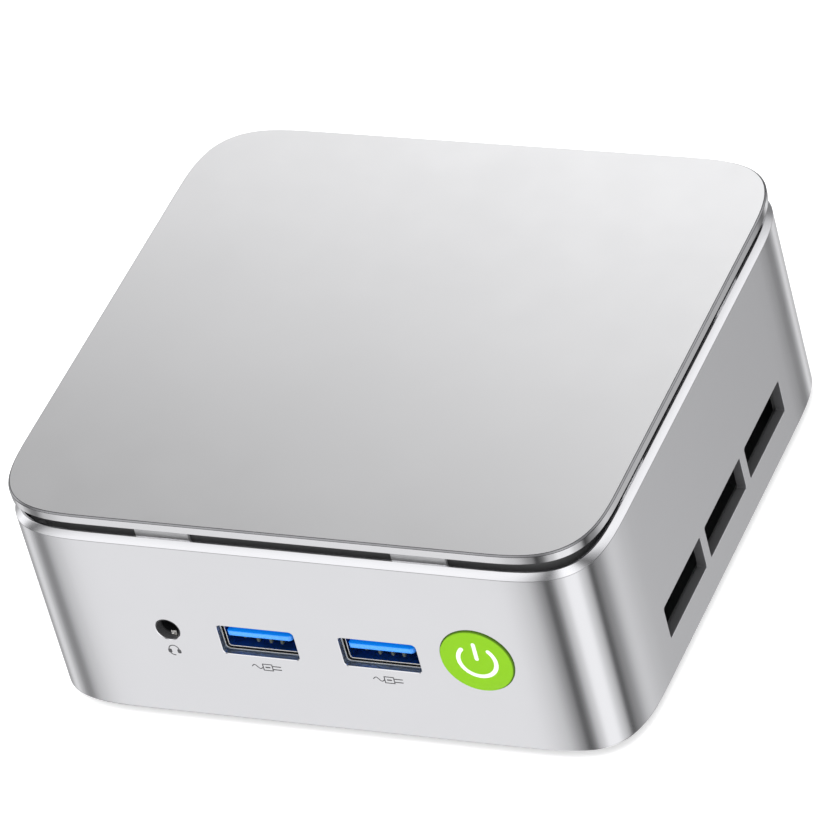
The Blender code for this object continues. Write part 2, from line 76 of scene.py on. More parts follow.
JACK_X, JACK_Z, JACK_HOLE_R = (j_lo.x + j_hi.x) / 2 - 0.1, (j_lo.z + j_hi.z) / 2 + 0.1, 2.33
USB_CUT_W, USB_CUT_H, HDMI_CUT_W, HDMI_CUT_H = 14.85, 6.55, 15.7, 6.3


def middle(node):
    lo, hi = span(node)
    return (lo + hi) / 2


USB_FRONT = [middle("usb_front_left_shell"), middle("usb_front_right_shell")]
USB_REAR = [middle("usb_rear_lower_shell"), middle("usb_rear_upper_shell")]
HDMI = [middle("hdmi_a_shell"), middle("hdmi_b_shell")]
LAN_LO, LAN_HI = span("lan_port")
DC = middle("dc_jack")
EXHAUST = [(-6.5 + i) * 4.8 for i in range(14)]
POST = middle("cover_screw_front_right")

objects = bpy.data.collections.new("mini_pc_looks")
bpy.context.scene.collection.children.link(objects)


# ------------------------------------------------------------------ outlines
def curve_loop(half_x, half_y, extent, power, steps):
    """A rectangle with superellipse corners, anticlockwise from the right side. Points are
    spaced by a mix of turning angle and length, so that the corner's reflections are smooth."""
    t = np.linspace(0, math.pi / 2, 1201)
    x = extent * np.clip(np.cos(t), 0, None) ** (2 / power)
    y = extent * np.clip(np.sin(t), 0, None) ** (2 / power)
    dx, dy = np.diff(x), np.diff(y)
    length = np.concatenate([[0], np.cumsum(np.hypot(dx, dy))])
    angle = np.unwrap(np.arctan2(dy, dx))
    turn = np.concatenate([[0], np.cumsum(np.abs(np.diff(angle))), [0]])
    turn[-1] = turn[-2]
    measure = 0.35 * length / length[-1] + 0.65 * turn / max(turn[-1], 1e-9)
    measure = measure + np.linspace(0, 1e-6, len(measure))
    at = np.interp(np.linspace(measure[0], measure[-1], steps + 1), measure, t)
    x = extent * np.clip(np.cos(at), 0, None) ** (2 / power)
    y = extent * np.clip(np.sin(at), 0, None) ** (2 / power)
    corner = list(zip(x, y))
    loop = []
    for sx, sy, back in ((1, 1, False), (-1, 1, True), (-1, -1, False), (1, -1, True)):
        pts = corner[::-1] if back else corner
        loop += [(sx * (half_x - extent + a), sy * (half_y - extent + b)) for a, b in pts]
    return loop


def wall_normal(x, y):
    """The outward direction of the sleeve's outline at a point on it, in mm."""
    kx, ky = WIDTH / 2 - CORNER, DEPTH / 2 - CORNER
    u, v = max(abs(x) - kx, 0) / CORNER, max(abs(y) - ky, 0) / CORNER
    if u > v and v <= 0:
        return Vector((math.copysign(1, x), 0, 0))
    if v > u and u <= 0:
        return Vector((0, math.copysign(1, y), 0))
    gx, gy = u ** (CORNER_POWER - 1), v ** (CORNER_POWER - 1)
    return Vector((math.copysign(gx, x), math.copysign(gy, y), 0)).normalized()


def sleeve_loop(inset, steps=26):
    """The sleeve's outline, moved inwards by inset at right angles to itself."""
    moved = []
    for x, y in curve_loop(WIDTH / 2, DEPTH / 2, CORNER, CORNER_POWER, steps):
        n = wall_normal(x, y)
        moved.append((x - inset * n.x, y - inset * n.y))
    return moved


def lid_loop(inset, steps=26):
    return curve_loop(WIDTH / 2 - inset, DEPTH / 2 - inset, LID_CORNER - inset, LID_POWER, steps)


def round_rect(cx, cy, w, h, r, steps=6):
    r = min(r, w / 2 - 1e-4, h / 2 - 1e-4)
    loop = []
    for qx, qy, a0 in ((1, 1, 0), (-1, 1, 90), (-1, -1, 180), (1, -1, 270)):
        for i in range(steps + 1):
            a = math.radians(a0 + 90 * i / steps)
            loop.append((cx + qx * (w / 2 - r) + r * math.cos(a), cy + qy * (h / 2 - r) + r * math.sin(a)))
    return loop


def circle(cx, cy, r, steps=64):
    return [(cx + r * math.cos(2 * math.pi * i / steps), cy + r * math.sin(2 * math.pi * i / steps)) for i in range(steps)]


# ------------------------------------------------------------------ mesh building
AXES = {
    "Z": lambda a, b, d: (a, b, d),
    "Y": lambda a, b, d: (a, d, b),
    "X": lambda a, b, d: (d, a, b),
}


def loft(bm, rings, axis="Z", cap=True, closed=False):
    """Joins rings [(loop, depth), ...] of equal count; caps both ends, or closes the last to the first."""
    put = AXES[axis]
    rows = []
    for loop, depth in rings:
        rows.append([bm.verts.new(Vector(put(a, b, depth)) * MM) for a, b in loop])
    n = len(rows[0])
    pairs = list(zip(rows, rows[1:]))
    if closed:
        pairs.append((rows[-1], rows[0]))
    faces = []
    for low, high in pairs:
        for i in range(n):
            k = (i + 1) % n
            faces.append(bm.faces.new((low[i], low[k], high[k], high[i])))
    if cap and not closed:
        faces.append(bm.faces.new(rows[0][::-1]))
        faces.append(bm.faces.new(rows[-1]))
    return faces


def made(name, bm, material, body=CHASSIS, nodes=(), smooth=35, group=None):
    bmesh.ops.recalc_face_normals(bm, faces=bm.faces)
    mesh = bpy.data.meshes.new(name)
    bm.to_mesh(mesh)
    bm.free()
    obj = bpy.data.objects.new(name, mesh)
    objects.objects.link(obj)
    mesh.shade_smooth()
    mesh.set_sharp_from_angle(angle=math.radians(smooth))
    if material:
        mesh.materials.append(material)
    if body:
        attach(obj, body)
    if nodes:
        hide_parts(*nodes)
    return obj


def subtract(obj, bm, smooth=35):
    """Cuts the closed bodies in bm out of obj and applies the result."""
    bmesh.ops.recalc_face_normals(bm, faces=bm.faces)
    mesh = bpy.data.meshes.new("cut")
    bm.to_mesh(mesh)
    bm.free()
    tool = bpy.data.objects.new("cut", mesh)
    objects.objects.link(tool)
    modifier = obj.modifiers.new("cut", "BOOLEAN")
    modifier.operation = "DIFFERENCE"
    modifier.object = tool
    modifier.solver = "EXACT"
    bpy.context.view_layer.update()
    graph = bpy.context.evaluated_depsgraph_get()
    result = bpy.data.meshes.new_from_object(obj.evaluated_get(graph))
    obj.modifiers.remove(modifier)
    old = obj.data
    obj.data = result
    bpy.data.meshes.remove(old)
    bpy.data.objects.remove(tool)
    obj.data.shade_smooth()
    obj.data.set_sharp_from_angle(angle=math.radians(smooth))
    return obj


def flared(bm, loop_at, outside, surface, inside, axis, flare=0.16):
    """A cutter that leaves a small chamfer of size flare where it meets the surface."""
    sign = 1 if outside > surface else -1
    loft(
        bm,
        [
            (loop_at(flare + abs(outside - surface)), outside),
            (loop_at(flare), surface),
            (loop_at(0), surface - sign * flare),
            (loop_at(0), inside),
        ],
        axis,
    )


def box(bm, lo, hi, bevel=0.0, segments=2):
    res = bmesh.ops.create_cube(bm, size=1.0)
    size = [b - a for a, b in zip(lo, hi)]
    mid = [(a + b) / 2 for a, b in zip(lo, hi)]
    bmesh.ops.transform(
        bm,
        matrix=Matrix.Translation(Vector(mid) * MM) @ Matrix.Diagonal((size[0] * MM, size[1] * MM, size[2] * MM, 1)),
        verts=res["verts"],
    )
    if bevel:
        edges = {e for v in res["verts"] for e in v.link_edges}
        bmesh.ops.bevel(bm, geom=list(edges), offset=bevel * MM, segments=segments, profile=0.5, affect="EDGES")


def lathe(bm, profile, where, axis="Z", steps=64):
    """Turns (radius, depth) pairs about an axis through where. Radius 0 ends in a point."""
    put = AXES[axis]
    # where as (a, b) in the plane across the axis
    a0, b0 = where
    rows = []
    for r, d in profile:
        if r < 1e-6:
            rows.append([bm.verts.new(Vector(put(a0, b0, d)) * MM)])
        else:
            rows.append(
                [
                    bm.verts.new(Vector(put(a0 + r * math.cos(2 * math.pi * i / steps), b0 + r * math.sin(2 * math.pi * i / steps), d)) * MM)
                    for i in range(steps)
                ]
            )
    for low, high in zip(rows, rows[1:]):
        for i in range(steps):
            k = (i + 1) % steps
            if len(low) == 1 and len(high) == 1:
                continue
            if len(low) == 1:
                bm.faces.new((low[0], high[k], high[i]))
            elif len(high) == 1:
                bm.faces.new((low[i], low[k], high[0]))
            else:
                bm.faces.new((low[i], low[k], high[k], high[i]))


def ribbon(bm, path, width, depth_a, depth_b, axis="Y", round_ends=True):
    """A thin printed stroke: path is 2D points, width its thickness, between two depths."""
    pts = [Vector(p) for p in path]
    half = width / 2
    left, right = [], []
    for i, p in enumerate(pts):
        d = (pts[min(i + 1, len(pts) - 1)] - pts[max(i - 1, 0)]).normalized()
        n = Vector((-d.y, d.x))
        left.append(p + n * half)
        right.append(p - n * half)
    outline = [tuple(p) for p in left]
    if round_ends:
        d = (pts[-1] - pts[-2]).normalized()
        a0 = math.atan2(d.y, d.x) + math.pi / 2
        outline += [
            (pts[-1].x + half * math.cos(a0 - math.pi * k / 8), pts[-1].y + half * math.sin(a0 - math.pi * k / 8)) for k in range(1, 8)
        ]
    outline += [tuple(p) for p in reversed(right)]
    if round_ends:
        d = (pts[0] - pts[1]).normalized()
        a0 = math.atan2(d.y, d.x) + math.pi / 2
        outline += [
            (pts[0].x + half * math.cos(a0 - math.pi * k / 8), pts[0].y + half * math.sin(a0 - math.pi * k / 8)) for k in range(1, 8)
        ]
    loft(bm, [(outline, depth_a), (outline, depth_b)], axis)


# ------------------------------------------------------------------ materials
class Mat:
    """A Principled material with small helpers to wire noise into it."""

    def __init__(self, name, colour, rough, metal=0.0, **sockets):
        self.mat = bpy.data.materials.new(name)
        self.mat.use_nodes = True
        self.nt = self.mat.node_tree
        self.p = self.nt.nodes["Principled BSDF"]
        self.p.inputs["Base Color"].default_value = (*colour, 1)
        self.p.inputs["Roughness"].default_value = rough
        self.p.inputs["Metallic"].default_value = metal
        for key, value in sockets.items():
            self.p.inputs[key.replace("_", " ")].default_value = value
        self.colour, self.rough = colour, rough
        self.tex = self.nt.nodes.new("ShaderNodeTexCoord")

    def coords(self, scale=(1, 1, 1)):
        m = self.nt.nodes.new("ShaderNodeMapping")
        m.inputs["Scale"].default_value = scale
        self.nt.links.new(self.tex.outputs["Object"], m.inputs["Vector"])
        return m.outputs["Vector"]

    def noise(self, scale, detail=3.0, rough=0.55, stretch=(1, 1, 1)):
        n = self.nt.nodes.new("ShaderNodeTexNoise")
        n.inputs["Scale"].default_value = scale
        n.inputs["Detail"].default_value = detail
        n.inputs["Roughness"].default_value = rough
        self.nt.links.new(self.coords(stretch), n.inputs["Vector"])
        return n.outputs["Fac"]

    def ranged(self, value, lo, hi, from_lo=0.3, from_hi=0.7):
        m = self.nt.nodes.new("ShaderNodeMapRange")
        m.inputs["From Min"].default_value, m.inputs["From Max"].default_value = from_lo, from_hi
        m.inputs["To Min"].default_value, m.inputs["To Max"].default_value = lo, hi
        self.nt.links.new(value, m.inputs["Value"])
        return m.outputs["Result"]

    def mottle(self, value, dark, light):
        """Base colour runs between dark and light times the colour."""
        mix = self.nt.nodes.new("ShaderNodeMix")
        mix.data_type = "RGBA"
        mix.inputs["A"].default_value = (*[c * dark for c in self.colour], 1)
        mix.inputs["B"].default_value = (*[min(c * light, 1) for c in self.colour], 1)
        self.nt.links.new(self.ranged(value, 0, 1), mix.inputs["Factor"])
        self.nt.links.new(mix.outputs["Result"], self.p.inputs["Base Color"])
        return self

    def rough_by(self, value, lo, hi):
        self.nt.links.new(self.ranged(value, lo, hi), self.p.inputs["Roughness"])
        return self

    def bump(self, value, strength, distance_mm):
        b = self.nt.nodes.new("ShaderNodeBump")
        b.inputs["Strength"].default_value = strength
        b.inputs["Distance"].default_value = distance_mm * MM
        self.nt.links.new(value, b.inputs["Height"])
        self.nt.links.new(b.outputs["Normal"], self.p.inputs["Normal"])
        return self

    def tangent(self):
        t = self.nt.nodes.new("ShaderNodeTangent")
        t.direction_type = "RADIAL"
        t.axis = "Z"
        self.nt.links.new(t.outputs["Tangent"], self.p.inputs["Tangent"])
        return self


def plastic(name, colour, rough, grain=2600, bump=0.25, depth=0.02, spread=(0.85, 1.18), **kw):
    m = Mat(name, colour, rough, **kw)
    big, fine = m.noise(90, 4), m.noise(grain, 2)
    m.mottle(big, *spread)
    m.rough_by(m.noise(320, 3), max(rough - 0.06, 0.05), rough + 0.07)
    m.bump(fine, bump, depth)
    return m.mat


def steel(name, colour, rough, spread=(0.88, 1.06), grain=1500, bump=0.12):
    m = Mat(name, colour, rough, 1.0)
    m.mottle(m.noise(260, 4), *spread)
    m.rough_by(m.noise(700, 3), max(rough - 0.05, 0.05), rough + 0.08)
    m.bump(m.noise(grain, 2), bump, 0.01)
    return m.mat


# Bead-blasted, anodised aluminium: fine even grain, with a very slight cloudiness.
m = Mat("silver_sleeve", (0.80, 0.80, 0.815), 0.18, 1.0)
m.mottle(m.noise(24, 3), 0.992, 1.006)
m.rough_by(m.noise(90, 3), 0.172, 0.190)
SLEEVE = m.mat
m = Mat("silver_lid", (0.80, 0.80, 0.81), 0.33, 1.0)
m.mottle(m.noise(30, 3), 0.985, 1.01)
m.rough_by(m.noise(140, 3), 0.315, 0.35)
LID = m.mat
# Edge copies of the lid metal: the side band smoother and a little darker, the bevel darker still, the fillets nearly
# black. The darkening is painted shade and painted dark edge lines.
m = Mat("lid_side_painted_shade", (0.75, 0.75, 0.76), 0.10, 1.0)
m.mottle(m.noise(60, 3), 0.98, 1.01)
m.rough_by(m.noise(200, 3), 0.09, 0.12)
LID_SIDE = m.mat
m = Mat("lid_bevel_painted_shade", (0.36, 0.36, 0.37), 0.30, 1.0)
m.mottle(m.noise(200, 3), 0.95, 1.04)
m.rough_by(m.noise(300, 3), 0.26, 0.34)
LID_BEVEL = m.mat
m = Mat("lid_edge_painted_dark_line", (0.09, 0.09, 0.095), 0.35, 1.0)
m.mottle(m.noise(300, 3), 0.9, 1.1)
m.rough_by(m.noise(300, 3), 0.3, 0.4)
EDGE_LINE = m.mat
m = Mat("tab_silver", (0.72, 0.72, 0.73), 0.5, 0.0)
m.mottle(m.noise(90, 3), 0.98, 1.02)
m.rough_by(m.noise(300, 3), 0.45, 0.55)
TAB = m.mat
# A darker copy of the sleeve metal for the small fillet at the top of the wall: a painted dark edge line.
m = Mat("sleeve_edge_painted_dark_line", (0.50, 0.50, 0.51), 0.32, 1.0)
m.mottle(m.noise(300, 3), 0.96, 1.04)
m.rough_by(m.noise(300, 3), 0.28, 0.36)
EDGE_SOFT = m.mat
# Darker, blue-tinted metal for cut faces: the blue is a painted reflection of the blue tongues.
m = Mat("cut_aluminium_painted_blue_reflection", (0.37, 0.45, 0.58), 0.36, 1.0)
m.mottle(m.noise(500, 3, stretch=(1, 0.2, 1)), 0.93, 1.06)
m.rough_by(m.noise(400, 2), 0.32, 0.40)
CUT_METAL = m.mat

DARK = plastic("dark_chassis", (0.030, 0.030, 0.032), 0.5)
NECK = plastic("neck_plastic", (0.17, 0.17, 0.173), 0.55, bump=0.1, spread=(0.96, 1.05))
LINER = plastic("vent_liner", (0.076, 0.076, 0.079), 0.55, bump=0.1, spread=(0.96, 1.05))
COVER = plastic("cover_plastic", (0.028, 0.028, 0.030), 0.55, grain=1700, bump=0.5, depth=0.03)
RUBBER = plastic("rubber", (0.018, 0.018, 0.018), 0.8, grain=2200, bump=0.6, depth=0.03)
BLACK = plastic("black_plastic", (0.010, 0.010, 0.011), 0.42)
BLUE = plastic("blue_plastic", (0.065, 0.33, 1.0), 0.30, bump=0.08, spread=(0.96, 1.04))
# Painted light: a more saturated, faintly glowing copy of the blue plastic for the tongues' top faces, standing in for
# light falling on them.
BLUE_TOP_PAINTED_LIGHT = plastic(
    "blue_plastic_top_painted_light", (0.004, 0.34, 1.0), 0.45, bump=0.08, spread=(0.96, 1.04), Emission_Color=(0, 0.15, 1, 1), Emission_Strength=0.26
)
GREEN = plastic("green_button", (0.200, 0.450, 0.006), 0.45, bump=0.06, spread=(0.985, 1.015), Specular_IOR_Level=0.15)
# Darker copies of the green for the button: painted shade on its upper right edge and on its side.
GREEN_HALF_SHADE = plastic("green_button_edge_painted_shade", (0.112, 0.255, 0.0035), 0.45, bump=0.06, Specular_IOR_Level=0.15)
GREEN_SHADE = plastic("green_button_side_painted_shade", (0.060, 0.140, 0.004), 0.45, bump=0.06, Specular_IOR_Level=0.15)
WHITE_INK = plastic("white_ink", (0.80, 0.87, 0.72), 0.5, spread=(0.97, 1.0))
JACK_GREY = plastic("socket_rim", (0.046, 0.046, 0.048), 0.5, bump=0.1, spread=(0.95, 1.06))
GREY_INK = plastic("grey_ink", (0.060, 0.060, 0.064), 0.6, spread=(0.85, 1.15))
STEEL = steel("connector_steel", (0.70, 0.69, 0.66), 0.24)
# Near-white contact material: a painted glint.
BRIGHT = plastic("contact_painted_glint", (0.80, 0.79, 0.76), 0.35, bump=0.05, spread=(0.94, 1.05), Metallic=0.3)
# Near-white, mostly diffuse material for rolled steel edges: a painted highlight.
LIP = plastic("rolled_edge_painted_highlight", (0.60, 0.58, 0.54), 0.4, bump=0.05, spread=(0.94, 1.05), Metallic=0.25)
# Inside of the socket shells: steel coloured dark navy, a painted shade with a painted reflection of the blue tongues.
INNER_STEEL = steel("shell_inside_painted_shade_and_reflection", (0.030, 0.135, 0.400), 0.55, spread=(0.8, 1.15), bump=0.06)
DULL_GOLD = plastic("contact_dull_gold", (0.062, 0.074, 0.062), 0.5, bump=0.05, spread=(0.9, 1.1), Metallic=0.2)
SCREW = steel("screw_steel", (0.16, 0.16, 0.165), 0.34)
BRASS = steel("contact_brass", (0.83, 0.62, 0.27), 0.26)
CHIP = plastic("chip_package", (0.020, 0.020, 0.022), 0.42)
HEATSINK = steel("heatsink_aluminium", (0.62, 0.62, 0.64), 0.38)
CELL = steel("cell_steel", (0.68, 0.68, 0.66), 0.22)
AMBER = plastic("amber_lens", (0.55, 0.26, 0.02), 0.3)
LIME = plastic("green_lens", (0.06, 0.38, 0.06), 0.3)
m = Mat("circuit_board", (0.006, 0.075, 0.035), 0.34)
wave = m.nt.nodes.new("ShaderNodeTexBrick")
wave.inputs["Scale"].default_value = 900
wave.inputs["Color1"].default_value = (0.006, 0.075, 0.035, 1)
wave.inputs["Color2"].default_value = (0.010, 0.115, 0.050, 1)
wave.inputs["Mortar"].default_value = (0.004, 0.050, 0.024, 1)
m.nt.links.new(m.coords(), wave.inputs["Vector"])
m.nt.links.new(wave.outputs["Color"], m.p.inputs["Base Color"])
m.rough_by(m.noise(400, 3), 0.28, 0.42)
m.bump(wave.outputs["Fac"], 0.2, 0.02)
BOARD = m.mat

# ------------------------------------------------------------------ sleeve
bm = bmesh.new()
E = 0.10  # small radius on the sleeve's edges
profile = [
    (0.45, Z_SLEEVE),
    (0.22, Z_SLEEVE + 0.06),
    (0.06, Z_SLEEVE + 0.20),
    (0.0, Z_SLEEVE + 0.42),
    (0.0, Z_WALL - E),
    (E * 0.30, Z_WALL + E * 0.35),
    (CHAMFER - E * 0.8, Z_RIM - E * 0.45),
    (CHAMFER, Z_RIM),
    (WALL - 0.05, Z_RIM),
    (WALL, Z_RIM - 0.05),
    (WALL, Z_SLEEVE + 0.1),
    (WALL - 0.1, Z_SLEEVE),
]
loft(bm, [(sleeve_loop(i), z) for i, z in profile], closed=True)
shell = made("sleeve", bm, SLEEVE, nodes=["body_shell"], smooth=28)
shell.data.materials.append(CUT_METAL)
shell.data.materials.append(EDGE_SOFT)

bm = bmesh.new()
VENTS = [VENT_Y + i * VENT_PITCH for i in (-1, 0, 1)]
for side in (-1, 1):
    for y in VENTS:
        flared(
            bm,
            lambda e, y=y: round_rect(y, VENT_Z, VENT_L + 2 * e, VENT_H + 2 * e, 0.55 + e),
            side * (RIGHT + 1),
            side * RIGHT,
            side * (RIGHT - 3),
            "X",
            0.03,
        )
for at in USB_FRONT:
    flared(
        bm,
        lambda e, at=at: round_rect(at.x - 0.08, at.z - 0.05, USB_CUT_W + 2 * e, USB_CUT_H + 2 * e, 0.8 + e),
        FRONT - 1,
        FRONT,
        FRONT + 3,
        "Y",
        0.12,
    )
flared(bm, lambda e: circle(JACK_X, JACK_Z, JACK_HOLE_R + e, 48), FRONT - 1, FRONT, FRONT + 3, "Y", 0.12)
flared(bm, lambda e: circle(BUTTON_X, BUTTON_Z, BUTTON_HOLE_R - 0.03 + e, 120), FRONT - 1, FRONT, FRONT + 3, "Y", 0.05)
for at in USB_REAR:
    flared(
        bm,
        lambda e, at=at: round_rect(at.x - 0.08, at.z - 0.05, USB_CUT_W + 2 * e, USB_CUT_H + 2 * e, 0.8 + e),
        BACK + 1,
        BACK,
        BACK - 3,
        "Y",
        0.12,
    )
for at in HDMI:
    flared(
        bm,
        lambda e, at=at: round_rect(at.x, at.z, HDMI_CUT_W + 2 * e, HDMI_CUT_H + 2 * e, 0.9 + e),
        BACK + 1,
        BACK,
        BACK - 3,
        "Y",
        0.12,
    )
flared(
    bm,
    lambda e: round_rect(
        (LAN_LO.x + LAN_HI.x) / 2,
        (LAN_LO.z + LAN_HI.z) / 2,
        LAN_HI.x - LAN_LO.x + 0.7 + 2 * e,
        LAN_HI.z - LAN_LO.z + 0.7 + 2 * e,
        0.5 + e,
    ),
    BACK + 1,
    BACK,
    BACK - 3,
    "Y",
    0.12,
)
flared(bm, lambda e: circle(DC.x, DC.z, 3.3 + e, 48), BACK + 1, BACK, BACK - 3, "Y", 0.2)
for x in EXHAUST:
    flared(
        bm,
        lambda e, x=x: round_rect(x, 34.7, 2.4 + 2 * e, 3.4 + 2 * e, 1.15 + e),
        BACK + 1,
        BACK,
        BACK - 3,
        "Y",
        0.10,
    )
subtract(shell, bm, 28)
# Faces cut through the wall get darker metal, tinted blue: the blue is a painted reflection of the blue socket
# tongues.
for poly in shell.data.polygons:
    c = poly.center / MM
    n = poly.normal
    # Painted dark edge line on the fillet at the top of the wall.
    if Z_WALL - E < c.z < Z_WALL + E * 0.35 and poly.material_index == 0:
        poly.material_index = 2
    if abs(c.y) > BACK - WALL + 0.02 and abs(n.y) < 0.3 and abs(c.x) < 40 and Z_SLEEVE + 1 < c.z < Z_WALL - 1:
        poly.material_index = 1
    if abs(c.x) > RIGHT - WALL + 0.02 and abs(n.x) < 0.3 and abs(c.y) < 36 and Z_SLEEVE + 1 < c.z < Z_WALL - 1:
        poly.material_index = 1



def true_wall_normals(obj):
    """Cut-outs leave large faces with few corners, so their shading comes from the outline itself."""
    mesh = obj.data
    normals = [Vector(c.vector) for c in mesh.corner_normals]
    for poly in mesh.polygons:
        if abs(poly.normal.z) > 0.02:
            continue
        x, y = poly.center.x / MM, poly.center.y / MM
        points = [mesh.vertices[mesh.loops[i].vertex_index].co / MM for i in poly.loop_indices]
        if min(q.z for q in points) < Z_SLEEVE + 0.3 or max(q.z for q in points) > Z_WALL:
            continue
        own = [wall_normal(q.x, q.y) for q in points]
        if min(n.dot(poly.normal) for n in own) < 0.9:
            continue
        depth = max(WIDTH / 2 - abs(x), 0), max(DEPTH / 2 - abs(y), 0)
        if abs(poly.normal.x) > 0.99 and depth[0] > 0.6 or abs(poly.normal.y) > 0.99 and depth[1] > 0.6:
            continue
        for i, n in zip(poly.loop_indices, own):
            normals[i] = n
    mesh.normals_split_custom_set([tuple(n) for n in normals])


true_wall_normals(shell)

# ------------------------------------------------------------------ lid with its tabs
bm = bmesh.new()
LC, LE = 0.27, 0.075
lid_profile = [
    (8.0, Z_LID + 0.0, 1),
    (0.30, Z_LID, 1),
    (0.10, Z_LID + 0.05, 1),
    (0.0, Z_LID + 0.18, 1),
    (0.0, Z_TOP - LC - LE, 3),
    (LE * 0.6, Z_TOP - LC, 2),
    (LC - LE * 0.3, Z_TOP - LE * 0.8, 3),
    (LC + LE, Z_TOP, 0),
    (1.2, Z_TOP, 0),
    (8.0, Z_TOP, 0),
]
loft(bm, [(lid_loop(i), z) for i, z, _ in lid_profile])
lid = made("lid", bm, LID, nodes=["top_plate"], smooth=28)
for extra in (LID_SIDE, LID_BEVEL, EDGE_LINE):
    lid.data.materials.append(extra)
# Painted shade: the side band, bevel and fillets take the darker copies of the lid metal.
for poly in lid.data.polygons:
    z = poly.center.z / MM
    if z > Z_TOP - 0.005:
        poly.material_index = 0
    elif z > Z_TOP - LE * 0.8:
        poly.material_index = 3
    elif z > Z_TOP - LC:
        poly.material_index = 2
    elif z > Z_TOP - LC - LE:
        poly.material_index = 3
    else:
        poly.material_index = 1

TAB_X, TAB_LEN, TAB_INSET, TAB_T = 24.6, 10.4, 2.7, 0.8
bm = bmesh.new()
for sx, sy in ((1, 0), (-1, 0), (0, 1), (0, -1)):
    for centre in (-TAB_X, TAB_X):
        lo_z, hi_z = Z_RIM - 2.05, Z_LID + 0.02
        if sx:
            a, b = sorted((sx * (RIGHT - TAB_INSET), sx * (RIGHT - TAB_INSET - TAB_T)))
            box(bm, (a, centre - TAB_LEN / 2, lo_z), (b, centre + TAB_LEN / 2, hi_z), 0.12)
        else:
            a, b = sorted((sy * (BACK - TAB_INSET), sy * (BACK - TAB_INSET - TAB_T)))
            box(bm, (centre - TAB_LEN / 2, a, lo_z), (centre + TAB_LEN / 2, b, hi_z), 0.12)
made("lid_tabs", bm, TAB)
bm = bmesh.new()
for sx, sy in ((-1, -1), (1, -1), (-1, 1), (1, 1)):
    lathe(bm, [(0, 40.7), (1.8, 40.7), (2.15, 41.1), (2.15, Z_LID), (0, Z_LID)], (sx * 41, sy * 38), steps=24)
made("lid_pegs", bm, DARK)

# ------------------------------------------------------------------ side grilles
for side in (-1, 1):
    tag = "right" if side > 0 else "left"
    bm = bmesh.new()
    w_in, w_out = side * (RIGHT - 1.75), side * (RIGHT - WALL - 0.04)
    loft(bm, [(round_rect(VENT_Y, VENT_Z, 65, 10.6, 1.0), w_in), (round_rect(VENT_Y, VENT_Z, 65, 10.6, 1.0), w_out)], "X")
    plate = made(f"grille_plate_{tag}", bm, LINER, nodes=[f"side_grille_{tag}"])
    bm = bmesh.new()
    for y in VENTS:
        loft(
            bm,
            [
                (round_rect(y, VENT_Z, VENT_L - 0.30, VENT_H - 0.30, 0.42), side * (RIGHT - 6)),
                (round_rect(y, VENT_Z, VENT_L - 0.30, VENT_H - 0.30, 0.42), side * (RIGHT + 1)),
            ],
            "X",
        )
    subtract(plate, bm)
    bm = bmesh.new()
    for y in VENTS:
        outer = round_rect(y, VENT_Z, VENT_L - 0.02, VENT_H - 0.02, 0.54)
        inner = round_rect(y, VENT_Z, VENT_L - 0.34, VENT_H - 0.34, 0.40)
        loft(
            bm,
            [
                (outer, side * (RIGHT - WALL - 0.03)),
                (outer, side * (RIGHT - 0.07)),
                (round_rect(y, VENT_Z, VENT_L - 0.10, VENT_H - 0.10, 0.5), side * (RIGHT - 0.04)),
                (inner, side * (RIGHT - 0.10)),
                (inner, side * (RIGHT - WALL - 0.03)),
            ],
            "X",
            closed=True,
        )
    made(f"grille_collars_{tag}", bm, LINER)
    # A fine dust screen across the ducts, just behind the grille plate.
    bm = bmesh.new()
    x = side * (RIGHT - 4.2)
    for y in VENTS:
        for k in range(15):
            yy = y - VENT_L / 2 + 0.3 + (k + 0.5) * (VENT_L - 0.6) / 15
            box(bm, (min(x, x - side * 0.2), yy - 0.11, VENT_Z - VENT_H / 2 - 0.4), (max(x, x - side * 0.2), yy + 0.11, VENT_Z + VENT_H / 2 + 0.4))
        for k in range(6):
            zz = VENT_Z - VENT_H / 2 + 0.2 + (k + 0.5) * (VENT_H - 0.4) / 6
            box(bm, (min(x - side * 0.2, x - side * 0.4), y - VENT_L / 2 - 0.4, zz - 0.11), (max(x - side * 0.2, x - side * 0.4), y + VENT_L / 2 + 0.4, zz + 0.11))
    made(f"dust_screen_{tag}", bm, BLACK)

# ------------------------------------------------------------------ bottom cover, feet, screws
bm = bmesh.new()
z0, z1 = c_lo.z, c_hi.z
loft(bm, [(sleeve_loop(i), z) for i, z in ((2.0, z1), (1.8, z1 - 0.15), (1.72, z0 + 0.35), (1.85, z0 + 0.08), (2.2, z0))])
cover = made("cover_plate", bm, COVER, nodes=["bottom_cover"], smooth=28)
bm = bmesh.new()
for i in range(11):
    x = (i - 5) * 6.0
    flared(bm, lambda e, x=x: round_rect(x, 0, 2.6 + 2 * e, 34 + 2 * e, 1.28 + e), z0 - 1, z0, z1 + 2, "Z", 0.25)
for sx in (-1, 1):
    for sy in (-1, 1):
        x, y = sx * POST.x, -sy * POST.y
        lathe(bm, [(0, z0 - 1), (4.1, z0 - 1), (3.15, z0), (2.95, z0 + 0.15), (1.6, z0 + 1.2), (1.6, z1 + 1), (0, z1 + 1)], (x, y), steps=48)
subtract(cover, bm, 28)
